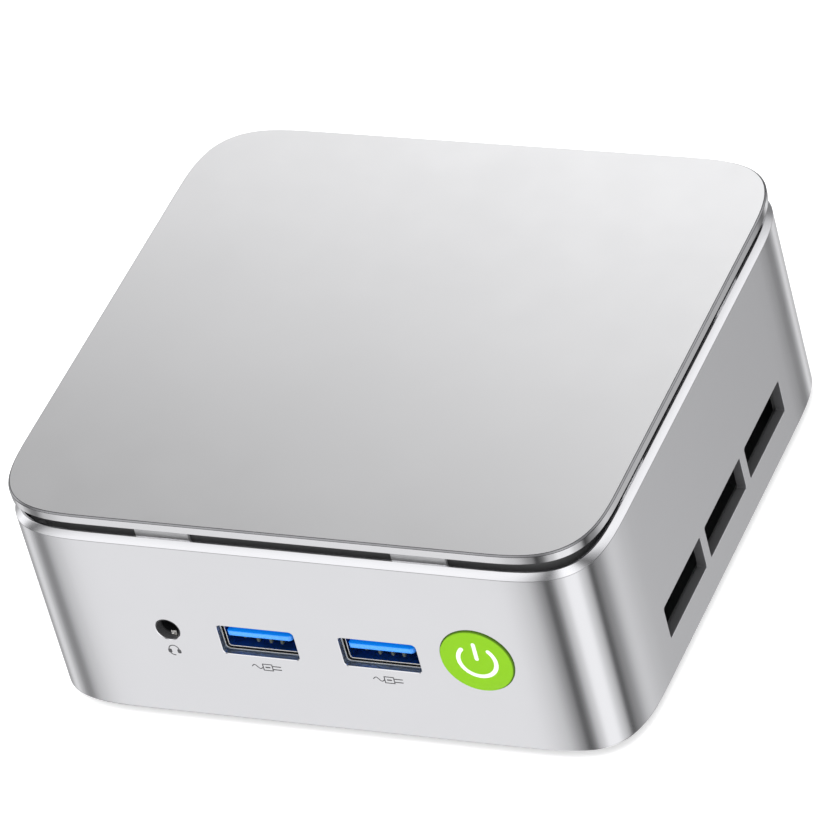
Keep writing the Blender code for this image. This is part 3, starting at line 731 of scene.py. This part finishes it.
for tag, sx, sy in (("front_left", -1, -1), ("front_right", 1, -1), ("back_left", -1, 1), ("back_right", 1, 1)):
    x, y = sx * POST.x, sy * abs(POST.y)
    bm = bmesh.new()
    lathe(
        bm,
        [(0, 10.5), (0.7, 10.5), (1.2, 9.9), (1.2, 3.75), (2.62, 2.72), (2.75, 2.62), (2.70, 2.54), (2.3, 2.48), (0, 2.46)],
        (x, y),
        steps=48,
    )
    screw = made(f"screw_{tag}", bm, SCREW, nodes=[f"cover_screw_{tag}"], smooth=30)
    bm = bmesh.new()
    for ang in (0, 90):
        turn = Matrix.Rotation(math.radians(ang + 20), 4, "Z")
        sub = bmesh.new()
        box(sub, (-1.6, -0.28, -0.9), (1.6, 0.28, 0.9))
        bmesh.ops.transform(sub, matrix=Matrix.Translation(Vector((x, y, 2.4)) * MM) @ turn, verts=sub.verts)
        tmp = bpy.data.meshes.new("t")
        sub.to_mesh(tmp)
        sub.free()
        bm.from_mesh(tmp)
        bpy.data.meshes.remove(tmp)
        if ang == 0:
            subtract(screw, bm, 30)
            bm = bmesh.new()
    subtract(screw, bm, 30)
    f_lo, f_hi = span(f"foot_{tag}")
    fx, fy = (f_lo.x + f_hi.x) / 2, (f_lo.y + f_hi.y) / 2
    bm = bmesh.new()
    top = f_hi.z + 0.3
    lathe(
        bm,
        [(0, top), (5.75, top), (6.0, top - 0.15), (6.0, 0.55), (5.85, 0.2), (5.5, 0.03), (5.0, 0.0), (3.4, 0.0), (3.1, 0.25), (0, 0.3)],
        (fx, fy),
        steps=72,
    )
    made(f"rubber_foot_{tag}", bm, RUBBER, nodes=[f"foot_{tag}"], smooth=40)


# ------------------------------------------------------------------ USB sockets
def usb(tag, shell_node, tongue_node, at, facing, face):
    """face is the outer surface of the wall. Depth runs inwards from it."""

    def d(depth):
        return face - facing * depth

    def ring(w, h, r, dx=0.0, dz=0.0):
        return round_rect(at.x + dx, at.z + dz, w, h, r, 5)

    # outer steel frame that closes the cut-out behind the wall: a thin edge in near-white painted highlight round a
    # dark groove; its deeper faces are black, painted shade
    bm = bmesh.new()
    rings = [
        (ring(15.2, 6.9, 0.95, -0.08, -0.05), d(2.3)),
        (ring(15.2, 6.9, 0.95, -0.08, -0.05), d(1.44)),
        (ring(14.90, 6.60, 0.95, -0.08, -0.05), d(1.38)),
        (ring(14.66, 6.32, 0.80, -0.05, -0.04), d(1.38)),
        (ring(14.62, 6.28, 0.78, -0.05, -0.04), d(1.42)),
        (ring(14.62, 6.28, 0.78, -0.05, -0.04), d(2.3)),
    ]
    loft(bm, rings, "Y", closed=True)
    edge = made(f"usb_frame_{tag}", bm, LIP, smooth=30)
    edge.data.materials.append(BLACK)
    for poly in edge.data.polygons:
        # Painted shade: the frame's faces deeper than 1.43 mm turn black.
        if abs(poly.center.y / MM - face) > 1.43:
            poly.material_index = 1
    bm = bmesh.new()
    rings = [(ring(15.0, 6.7, 0.7), d(2.9)), (ring(15.0, 6.7, 0.7), d(2.2)), (ring(13.57, 5.2, 0.5), d(2.2)), (ring(13.57, 5.2, 0.5), d(2.9))]
    loft(bm, rings, "Y", closed=True)
    made(f"usb_groove_{tag}", bm, BLACK)
    # steel shell with a rolled edge and an open mouth: the edge in near-white painted highlight, the inside past it
    # painted dark navy and the outside black, painted shade
    bm = bmesh.new()
    rings = [
        (ring(13.74, 5.40, 0.58), d(13.9)),
        (ring(13.74, 5.40, 0.58), d(1.50)),
        (ring(13.68, 5.35, 0.55), d(1.42)),
        (ring(13.46, 5.06, 0.46), d(1.40)),
        (ring(13.40, 5.00, 0.44), d(1.45)),
        (ring(13.40, 5.00, 0.44), d(13.4)),
    ]
    loft(bm, rings, "Y", cap=True)
    body = made(f"usb_shell_{tag}", bm, LIP, nodes=[shell_node], smooth=30)
    body.data.materials.append(INNER_STEEL)
    body.data.materials.append(BLACK)
    # Painted shade: past the rolled edge the inside takes the dark navy steel and the outside black.
    for poly in body.data.polygons:
        c = poly.center / MM
        if abs(c.y - face) > 1.48:
            within = abs(c.x - at.x) < 6.75 and abs(c.z - at.z) < 2.58
            poly.material_index = 1 if within else 2
    t_lo, t_hi = span(tongue_node)
    # tongue: rounded front corners in plan, so its outline is built flat and lofted upwards
    x0, x1 = at.x - 6.34, at.x + 6.26
    near, far, rr, rl = d(1.13), d(13.3), 0.85, 0.55

    def plan(e):
        pts = [(x0 + e, far), (x1 - e, far)]
        for k in range(9):
            a = math.pi / 2 * k / 8
            pts.append((x1 - rr + (rr - e) * math.cos(a), near + facing * (-rr + (rr - e) * math.sin(a))))
        for k in range(9):
            a = math.pi / 2 * k / 8
            pts.append((x0 + rl - (rl - e) * math.sin(a), near + facing * (-rl + (rl - e) * math.cos(a))))
        return pts

    bm = bmesh.new()
    zl, zh = t_lo.z, t_hi.z
    loft(bm, [(plan(0.10), zl), (plan(0.0), zl + 0.10), (plan(0.0), zh - 0.10), (plan(0.03), zh - 0.03), (plan(0.10), zh)], "Z")
    tongue = made(f"usb_tongue_{tag}", bm, BLUE, nodes=[tongue_node], smooth=50)
    tongue.data.materials.append(BLUE_TOP_PAINTED_LIGHT)
    # Painted light: the top faces take the glowing blue copy.
    for poly in tongue.data.polygons:
        if poly.normal.z > 0.9:
            poly.material_index = 1
    # contacts under the tongue: four spring tips near the mouth, five pads further in
    bm = bmesh.new()
    for x in (-3.3, -0.85, 1.6, 3.75):
        a, b = sorted((d(2.1), d(9.5)))
        box(bm, (at.x + x - 0.4, a, zl - 0.16), (at.x + x + 0.4, b, zl + 0.03), 0.06, 2)
        a, b = sorted((d(1.55), d(2.4)))
        box(bm, (at.x + x - 0.30, a, zl - (0.70 if x < -3 else 1.40)), (at.x + x + 0.30, b, zl - 0.05), 0.22, 2)
    for x in (-4.0, -2.0, 0.0, 2.0, 4.0):
        a, b = sorted((d(6.6), d(8.2)))
        box(bm, (at.x + x - 0.3, a, zl - 0.45), (at.x + x + 0.3, b, zl + 0.03), 0.08, 1)
    made(f"usb_contacts_{tag}", bm, DULL_GOLD)
    bm = bmesh.new()
    a, b = sorted((d(9.8), d(13.35)))
    box(bm, (at.x - 6.1, a, at.z - 2.40), (at.x + 6.1, b, zl - 0.2), 0.1, 1)
    made(f"usb_back_{tag}", bm, BLACK)


usb("front_left", "usb_front_left_shell", "usb_front_left_tongue", USB_FRONT[0], -1, FRONT)
usb("front_right", "usb_front_right_shell", "usb_front_right_tongue", USB_FRONT[1], -1, FRONT)
usb("rear_lower", "usb_rear_lower_shell", "usb_rear_lower_tongue", USB_REAR[0], 1, BACK)
usb("rear_upper", "usb_rear_upper_shell", "usb_rear_upper_tongue", USB_REAR[1], 1, BACK)

# ------------------------------------------------------------------ headphone socket
bm = bmesh.new()
lathe(
    bm,
    [
        (2.30, FRONT + 1.9),
        (2.30, FRONT + 0.10),
        (2.26, FRONT + 0.05),
        (2.18, FRONT + 0.09),
        (2.10, FRONT + 0.8),
        (1.98, FRONT + 1.40),
        (1.78, FRONT + 1.48),
        (1.74, FRONT + 11.5),
        (0, FRONT + 11.6),
        (0, FRONT + 14.0),
        (2.9, FRONT + 14.0),
        (3.0, FRONT + 1.9),
        (2.30, FRONT + 1.9),
    ],
    (JACK_X, JACK_Z),
    "Y",
    64,
)
bmesh.ops.remove_doubles(bm, verts=bm.verts, dist=1e-7)
barrel = made("jack_barrel", bm, BLACK, nodes=["audio_jack"], smooth=40)
barrel.data.materials.append(JACK_GREY)
for poly in barrel.data.polygons:
    if poly.center.y / MM < FRONT + 1.42:
        poly.material_index = 1
# contact leaf of the socket: a spring with a split tip, low in the bore, in a near-white material that paints the
# contacts' glint
bm = bmesh.new()
for k in range(4):
    cx = JACK_X + 0.12 + k * 0.27
    box(bm, (cx - 0.065, FRONT + 0.95, JACK_Z - 1.78), (cx + 0.065, FRONT + 1.08, JACK_Z - 0.98), 0.04, 2)
box(bm, (JACK_X + 0.02, FRONT + 0.96, JACK_Z - 1.88), (JACK_X + 1.04, FRONT + 1.10, JACK_Z - 1.70), 0.05, 1)
made("jack_contacts", bm, BRIGHT)
bm = bmesh.new()
box(bm, (-0.20, -0.62, -0.06), (0.20, 0.55, 0.06), 0.05, 2)
turn_z = Matrix.Rotation(math.radians(60), 4, "Z")
bmesh.ops.transform(bm, matrix=Matrix.Translation(Vector((JACK_X + 0.98, FRONT + 0.74, JACK_Z - 1.70)) * MM) @ turn_z, verts=bm.verts)
made("jack_spring", bm, STEEL)
bm = bmesh.new()
box(bm, (JACK_X - 3.2, FRONT + 3.2, JACK_Z - 3.0), (JACK_X + 3.2, FRONT + 14.1, JACK_Z - 2.5), 0.1, 1)
made("jack_base", bm, BLACK)

# ------------------------------------------------------------------ power button
BR = 6.90
face = FRONT - BUTTON_PROUD
bm = bmesh.new()
# The rolled edge is wider towards the upper right than towards the lower left, and its faces there take darker copies
# of the green: a painted shade crescent.
loft(
    bm,
    [
        (circle(BUTTON_X - k, BUTTON_Z - k, r, 120), y)
        for r, y, k in (
            (1.5, FRONT + 6.7, 0),
            (1.5, FRONT + 2.6, 0),
            (8.2, FRONT + 2.6, 0),
            (8.2, FRONT + 1.85, 0),
            (BR, FRONT + 1.85, 0),
            (BR, face + 0.14, 0),
            (BR - 0.02, face + 0.07, 0),
            (BR - 0.12, face + 0.02, 0.055),
            (BR - 0.20, face, 0.11),
        )
    ],
    "Y",
)
button = made("button_cap", bm, GREEN, body="power_button", nodes=["power_button"], smooth=30)
for extra in (GREEN_HALF_SHADE, GREEN_SHADE):
    button.data.materials.append(extra)
# Painted shade: the cap's side and its upper right edge take the darker greens.
for poly in button.data.polygons:
    y, across = poly.center.y / MM, (poly.center.x / MM - BUTTON_X, poly.center.z / MM - BUTTON_Z)
    upper_right = sum(across) > -3.4
    if y > face + 0.1:
        poly.material_index = 2
    elif upper_right and y > face + 0.03:
        poly.material_index = 2
    elif upper_right and y > face + 0.005:
        poly.material_index = 1
bm = bmesh.new()
SYM_X, SYM_Z = BUTTON_X + 0.10, BUTTON_Z + 0.08
arc = [
    (SYM_X + 3.52 * math.sin(math.radians(t)), SYM_Z + 3.52 * math.cos(math.radians(t)))
    for t in np.linspace(46, 314, 84)
]
ribbon(bm, arc, 0.80, face - 0.015, face + 0.01)
made("power_symbol_arc", bm, WHITE_INK, body="power_button")
bm = bmesh.new()
ribbon(bm, [(SYM_X, SYM_Z + 0.48), (SYM_X, SYM_Z + 2.2), (SYM_X, SYM_Z + 3.80)], 0.75, face - 0.015, face + 0.01)
made("power_symbol_bar", bm, WHITE_INK, body="power_button")


# ------------------------------------------------------------------ printed pictograms on the front
def ink(name, strokes, discs=()):
    bm = bmesh.new()
    for i, (path, width) in enumerate(strokes):
        ribbon(bm, path, width, FRONT - 0.012 - 0.001 * i, FRONT + 0.01)
    for i, (x, z, w, h, r) in enumerate(discs):
        loop = round_rect(x, z, w, h, r, 4)
        loft(bm, [(loop, FRONT - 0.0125 - 0.001 * i), (loop, FRONT + 0.01)], "Y")
    return made(name, bm, GREY_INK, smooth=60)


# headphones: a head band, two ear cups and the arm of a microphone
hx, hz = JACK_X + 0.10, JACK_Z - 4.75
band = [(hx + 1.0 * math.sin(math.radians(t)), hz + 1.08 * math.cos(math.radians(t))) for t in np.linspace(-100, 100, 28)]
arm = [(hx - 0.95 + 1.0 * (1 - math.cos(math.radians(t))), hz - 0.45 - 0.78 * math.sin(math.radians(t))) for t in np.linspace(0, 88, 12)]
ink(
    "mark_headphones",
    [(band, 0.20), (arm, 0.20)],
    [(hx - 0.86, hz - 0.28, 0.74, 0.92, 0.25), (hx + 0.95, hz - 0.28, 0.74, 0.92, 0.25)],
)
# a plain pictogram for the two wide sockets: a plug with two blades on a short wavy lead
for tag, at in zip(("left", "right"), USB_FRONT):
    px, pz = at.x + 0.35, at.z - 5.75
    lead = [(px - 2.9 + 0.14 * k, pz + 0.42 * math.sin(k * 0.42)) for k in range(16)]
    body = [(px - 0.75, pz - 0.72), (px + 1.05, pz - 0.72), (px + 1.05, pz + 0.72), (px - 0.75, pz + 0.72)]
    ink(
        f"mark_socket_{tag}",
        [
            (lead, 0.19),
            ([body[0], body[1]], 0.19),
            ([body[1], body[2]], 0.19),
            ([body[2], body[3]], 0.19),
            ([body[3], body[0]], 0.19),
            ([(px + 1.05, pz + 0.36), (px + 2.7, pz + 0.36)], 0.20),
            ([(px + 1.05, pz - 0.36), (px + 2.7, pz - 0.36)], 0.20),
        ],
        [(px + 0.15, pz, 1.0, 0.30, 0.14)],
    )

# ------------------------------------------------------------------ rear sockets
for tag, at in zip("ab", HDMI):

    def d(depth):
        return BACK - depth

    def shape(inset):
        w, h, k = 7.45 - inset, 2.75 - inset, 1.5 - 0.45 * inset
        pts = [(-w, h), (-w, -h + k), (-w + k, -h), (w - k, -h), (w, -h + k), (w, h)]
        # rounded corners, by short cuts
        out = []
        n = len(pts)
        for i, p in enumerate(pts):
            prev, nxt = Vector(pts[i - 1]), Vector(pts[(i + 1) % n])
            p = Vector(p)
            for other in (prev, nxt):
                out.append(tuple(p + (other - p).normalized() * 0.3))
        return [(at.x + a, at.z + b) for a, b in out]

    bm = bmesh.new()
    loft(bm, [(shape(0), d(11.9)), (shape(0), d(0.5)), (shape(0.06), d(0.38)), (shape(0.25), d(0.36)), (shape(0.34), d(0.5)), (shape(0.34), d(11.5))], "Y")
    socket = made(f"hdmi_shell_{tag}", bm, STEEL, nodes=[f"hdmi_{tag}_shell"], smooth=40)
    socket.data.materials.append(INNER_STEEL)
    # Painted shade: the inner faces take the dark navy steel.
    for poly in socket.data.polygons:
        if BACK - 11.6 < poly.center.y / MM < BACK - 0.6 and poly.area > 1e-12:
            n, c = poly.normal, poly.center / MM
            if n.x * (c.x - at.x) + n.z * (c.z - at.z) < 0:
                poly.material_index = 1
    t_lo, t_hi = span(f"hdmi_{tag}_tongue")
    bm = bmesh.new()
    box(bm, tuple(t_lo), tuple(t_hi), 0.12, 2)
    made(f"hdmi_tongue_{tag}", bm, BLACK, nodes=[f"hdmi_{tag}_tongue"])
    bm = bmesh.new()
    for k in range(10):
        x = at.x - 4.5 + k
        box(bm, (x - 0.22, d(9), t_hi.z - 0.02), (x + 0.22, d(1.9), t_hi.z + 0.05), 0.02, 1)
    made(f"hdmi_contacts_{tag}", bm, BRASS)

bm = bmesh.new()
cx, cz = (LAN_LO.x + LAN_HI.x) / 2, (LAN_LO.z + LAN_HI.z) / 2
outer = [round_rect(cx, cz, LAN_HI.x - LAN_LO.x, LAN_HI.z - LAN_LO.z, 0.5), round_rect(cx, cz, LAN_HI.x - LAN_LO.x - 0.3, LAN_HI.z - LAN_LO.z - 0.3, 0.4)]
loft(bm, [(outer[0], LAN_LO.y), (outer[0], BACK - 0.45), (outer[1], BACK - 0.32)], "Y")
lan = made("lan_housing", bm, STEEL, nodes=["lan_port"], smooth=40)
bm = bmesh.new()
box(bm, (cx - 6.6, BACK - 16, LAN_LO.z + 0.7), (cx + 6.6, BACK + 2, LAN_HI.z - 0.9))
subtract(lan, bm, 40)
bm = bmesh.new()
loop = round_rect(cx, cz - 0.1, 13.15, LAN_HI.z - LAN_LO.z - 1.65, 0.2)
loft(bm, [(loop, BACK - 15.9), (loop, BACK - 0.6)], "Y")
core = made("lan_core", bm, BLACK)
bm = bmesh.new()
box(bm, (cx - 5.9, BACK - 15, 21.4), (cx + 5.9, BACK + 2, 29.6))
subtract(core, bm)
bm = bmesh.new()
box(bm, (cx - 3.2, BACK - 12, 19.3), (cx + 3.2, BACK + 2, 21.5))
subtract(core, bm)
bm = bmesh.new()
for k in range(8):
    x = cx - 3.57 + k * 1.02
    box(bm, (x - 0.2, BACK - 13.5, 29.0), (x + 0.2, BACK - 3.5, 29.25), 0.05, 1)
made("lan_contacts", bm, BRASS)
for tag, sx, mat in (("left", -1, AMBER), ("right", 1, LIME)):
    bm = bmesh.new()
    box(bm, (cx + sx * 4.9 - 1.2, BACK - 1.5, 19.0), (cx + sx * 4.9 + 1.2, BACK - 0.5, 20.6), 0.2, 2)
    made(f"lan_lamp_{tag}", bm, mat)

bm = bmesh.new()
lathe(
    bm,
    [
        (4.2, BACK - 1.8),
        (3.26, BACK - 1.7),
        (3.26, BACK - 0.25),
        (3.15, BACK - 0.15),
        (2.98, BACK - 0.2),
        (2.9, BACK - 0.5),
        (2.85, BACK - 10.9),
        (0, BACK - 11.0),
        (0, BACK - 12.9),
        (4.2, BACK - 12.9),
        (4.2, BACK - 1.8),
    ],
    (DC.x, DC.z),
    "Y",
    64,
)
bmesh.ops.remove_doubles(bm, verts=bm.verts, dist=1e-7)
made("dc_barrel", bm, BLACK, nodes=["dc_jack"], smooth=40)
bm = bmesh.new()
lathe(bm, [(0, BACK - 10.9), (1.0, BACK - 10.9), (1.0, BACK - 2.9), (0.85, BACK - 2.55), (0.4, BACK - 2.4), (0, BACK - 2.38)], (DC.x, DC.z), "Y", 32)
made("dc_centre_pin", bm, BRASS, nodes=["dc_pin"], smooth=50)

# ------------------------------------------------------------------ pieces inside keep their CAD shape
KEEP = {
    NECK: ["inner_frame"],
    DARK: ["fan_housing"],
    BLACK: ["fan_rotor", "memory_socket", "ssd_socket", "wifi_socket", "coin_cell_holder"],
    CHIP: ["cpu_package", "power_switch"],
    BOARD: ["motherboard", "memory_module", "ssd_module", "wifi_card"],
    HEATSINK: ["heatsink"],
    BRASS: ["ssd_standoff", "wifi_antenna_left", "wifi_antenna_right"],
    CELL: ["coin_cell"],
    SCREW: ["ssd_screw"] + [f"board_screw_{c}" for c in ("front_left", "front_right", "back_left", "back_right")],
}
for material, names in KEEP.items():
    for name in names:
        node = NODES[name]
        node.data.materials.clear()
        node.data.materials.append(material)

# ------------------------------------------------------------------ floor
bm = bmesh.new()
bmesh.ops.create_grid(bm, x_segments=1, y_segments=1, size=2.5)
mesh = bpy.data.meshes.new("floor")
bm.to_mesh(mesh)
bm.free()
floor = bpy.data.objects.new("floor", mesh)
floor.location = (0, 0, -0.00005)
bpy.context.scene.collection.objects.link(floor)
m = Mat("floor_paper", (0.93, 0.93, 0.93), 0.7)
m.mottle(m.noise(3, 2), 0.995, 1.0)
m.p.inputs["Emission Color"].default_value = (1, 1, 1, 1)
m.p.inputs["Emission Strength"].default_value = 0.42
floor.data.materials.append(m.mat)
floor.visible_glossy = False

# ------------------------------------------------------------------ light: a soft studio dome with broad panels
world = bpy.data.worlds.new("studio")
bpy.context.scene.world = world
world.use_nodes = True
nt = world.node_tree
bg = nt.nodes["Background"]
tc = nt.nodes.new("ShaderNodeTexCoord")
sep = nt.nodes.new("ShaderNodeSeparateXYZ")
nt.links.new(tc.outputs["Generated"], sep.inputs["Vector"])


def math_node(op, a, b=None):
    n = nt.nodes.new("ShaderNodeMath")
    n.operation = op
    for i, v in enumerate((a, b)):
        if v is None:
            continue
        if isinstance(v, (int, float)):
            n.inputs[i].default_value = v
        else:
            nt.links.new(v, n.inputs[i])
    return n.outputs["Value"]


azimuth = math_node("ARCTAN2", sep.outputs["X"], math_node("MULTIPLY", sep.outputs["Y"], -1.0))
turn_fac = math_node("ADD", math_node("DIVIDE", azimuth, 2 * math.pi), 0.5)


def ramp(stops):
    """A grey level by azimuth in degrees, -180 to 180: 0 is the front, 90 the right."""
    n = nt.nodes.new("ShaderNodeValToRGB")
    n.color_ramp.interpolation = "EASE"
    els = n.color_ramp.elements
    while len(els) > 1:
        els.remove(els[-1])
    first = True
    for deg, level in stops:
        at = (deg + 180) / 360
        e = els[0] if first else els.new(at)
        e.position = at
        v = level / 2.0
        e.color = (v, v, v * 1.012, 1)
        first = False
    nt.links.new(turn_fac, n.inputs["Fac"])
    return n.outputs["Color"]


LOW = [(-180, 0.66), (-174, 0.56), (-165, 0.58), (-155, 0.70), (-139, 0.70), (-127, 0.52), (-119, 0.37), (-111, 0.46), (-103, 0.76), (-91, 0.84), (-79, 0.55), (-70, 0.29), (-63, 0.24), (-51, 0.65), (-37, 0.93), (-30, 0.95), (-19, 0.73), (-3, 0.33), (4.6, 0.06), (9, 0.14), (25, 0.69), (40, 1.07), (60, 1.08), (77, 0.72), (85, 0.55), (97, 0.08), (113, 0.29), (138, 0.73), (149, 0.595), (160, 0.14), (174, 0.92), (180, 0.66)]
HIGH = [(-180, 0.45), (-150, 0.62), (-125, 0.45), (-112, 0.42), (-104, 0.92), (-92, 1.27), (-85.5, 1.14), (-75.5, 0.46), (-70, 0.12), (-64, 0.24), (-53, 0.80), (-40, 1.16), (-33.5, 1.24), (-26.7, 1.12), (-11, 0.63), (-2.7, 0.30), (5.9, 0.12), (14.7, 0.38), (23.7, 0.79), (36, 1.22), (50.8, 1.30), (68, 1.17), (76, 0.97), (84, 0.61), (91.4, 0.26), (101, 0.12), (111.7, 0.42), (129.5, 1.05), (136, 1.20), (150, 0.76), (163, 0.24), (173, 0.26)]
mix = nt.nodes.new("ShaderNodeMix")
mix.data_type = "RGBA"
rise = nt.nodes.new("ShaderNodeMapRange")
rise.interpolation_type = "SMOOTHSTEP"
rise.inputs["From Min"].default_value, rise.inputs["From Max"].default_value = -0.42, -0.08
nt.links.new(sep.outputs["Z"], rise.inputs["Value"])
nt.links.new(rise.outputs["Result"], mix.inputs["Factor"])
nt.links.new(ramp(LOW), mix.inputs["A"])
nt.links.new(ramp(HIGH), mix.inputs["B"])
nt.links.new(mix.outputs["Result"], bg.inputs["Color"])
bg.inputs["Strength"].default_value = 2.0


def area(name, where, aim, size, power, glossy=True):
    data = bpy.data.lights.new(name, "AREA")
    data.shape = "RECTANGLE"
    data.size, data.size_y = size
    data.energy = power
    obj = bpy.data.objects.new(name, data)
    obj.location = where
    obj.rotation_mode = "QUATERNION"
    obj.rotation_quaternion = (Vector(aim) - Vector(where)).to_track_quat("-Z", "Y")
    obj.visible_glossy = glossy
    obj.visible_camera = False
    bpy.context.scene.collection.objects.link(obj)
    return obj


area("front_fill", (0.35, -1.1, 0.55), (0, 0, 0.02), (0.8, 0.6), 3.6, glossy=False)
area("overhead", (-0.15, -0.25, 1.3), (0, 0, 0), (1.6, 1.6), 16.0, glossy=False)

# Graded softbox behind the left shoulder of the object: the lid mirrors it.
e1 = Vector((0.8537, 0.5207, 0.0))
r_top = Vector((-0.409, 0.671, 0.618)).normalized()
e2 = r_top.cross(e1) * -1
centre = Vector((0, 0, Z_TOP * MM)) + r_top * 0.45
bm = bmesh.new()
bmesh.ops.create_grid(bm, x_segments=1, y_segments=1, size=0.27)
mesh = bpy.data.meshes.new("softbox")
bm.to_mesh(mesh)
bm.free()
softbox = bpy.data.objects.new("softbox", mesh)
n = r_top
softbox.matrix_world = Matrix(
    ((e1.x, e2.x, n.x, centre.x), (e1.y, e2.y, n.y, centre.y), (e1.z, e2.z, n.z, centre.z), (0, 0, 0, 1))
)
bpy.context.scene.collection.objects.link(softbox)
softbox.visible_camera = False
softbox.visible_diffuse = False
mat = bpy.data.materials.new("softbox_glow")
mat.use_nodes = True
snt = mat.node_tree
snt.nodes.clear()
out = snt.nodes.new("ShaderNodeOutputMaterial")
em = snt.nodes.new("ShaderNodeEmission")
stc = snt.nodes.new("ShaderNodeTexCoord")
dot = snt.nodes.new("ShaderNodeVectorMath")
dot.operation = "DOT_PRODUCT"
GU, GV, G0 = 4.3, 5.2, 0.83
# v axis of the plane points along -e2 or e2; the slope is set in object space
v_sign = 1.0 if e2.dot(Vector((0.3216, -0.527, 0.786))) > 0 else -1.0
dot.inputs[1].default_value = (GU, -GV * v_sign, 0)
snt.links.new(stc.outputs["Object"], dot.inputs[0])
add = snt.nodes.new("ShaderNodeMath")
add.operation = "ADD"
add.inputs[1].default_value = G0
snt.links.new(dot.outputs["Value"], add.inputs[0])
lim = snt.nodes.new("ShaderNodeClamp")
lim.inputs["Min"].default_value, lim.inputs["Max"].default_value = 0.30, 1.35
snt.links.new(add.outputs["Value"], lim.inputs["Value"])
snt.links.new(lim.outputs["Result"], em.inputs["Strength"])
snt.links.new(em.outputs["Emission"], out.inputs["Surface"])
softbox.data.materials.append(mat)

bpy.context.scene.view_settings.view_transform = "Standard"

# ------------------------------------------------------------------ camera
AZ, EL, ROLL = 31.3838, 38.1429, -15.6844
DIST, TX, TY, FOCAL = 1266.456, 5.4754 + 0.09, -20.2989 - 0.09, 6985.0719
a, e, r = (math.radians(v) for v in (AZ, EL, ROLL))
back = Vector((math.sin(a) * math.cos(e), -math.cos(a) * math.cos(e), math.sin(e)))
right = Vector((math.cos(a), math.sin(a), 0))
up = back.cross(right)
cx_, cy_ = math.cos(r) * right + math.sin(r) * up, -math.sin(r) * right + math.cos(r) * up
where = (cx_ * -TX + cy_ * -TY + back * DIST) * MM + Vector((0, 0, Z_SLEEVE * MM))
cam_data = bpy.data.cameras.new("camera")
cam_data.sensor_width = 36.0
cam_data.lens = FOCAL / 826 * 36.0
cam_data.clip_start, cam_data.clip_end = 0.1, 20
camera = bpy.data.objects.new("camera", cam_data)
camera.matrix_world = Matrix(
    ((cx_.x, cy_.x, back.x, where.x), (cx_.y, cy_.y, back.y, where.y), (cx_.z, cy_.z, back.z, where.z), (0, 0, 0, 1))
)
bpy.context.scene.collection.objects.link(camera)
bpy.context.scene.camera = camera

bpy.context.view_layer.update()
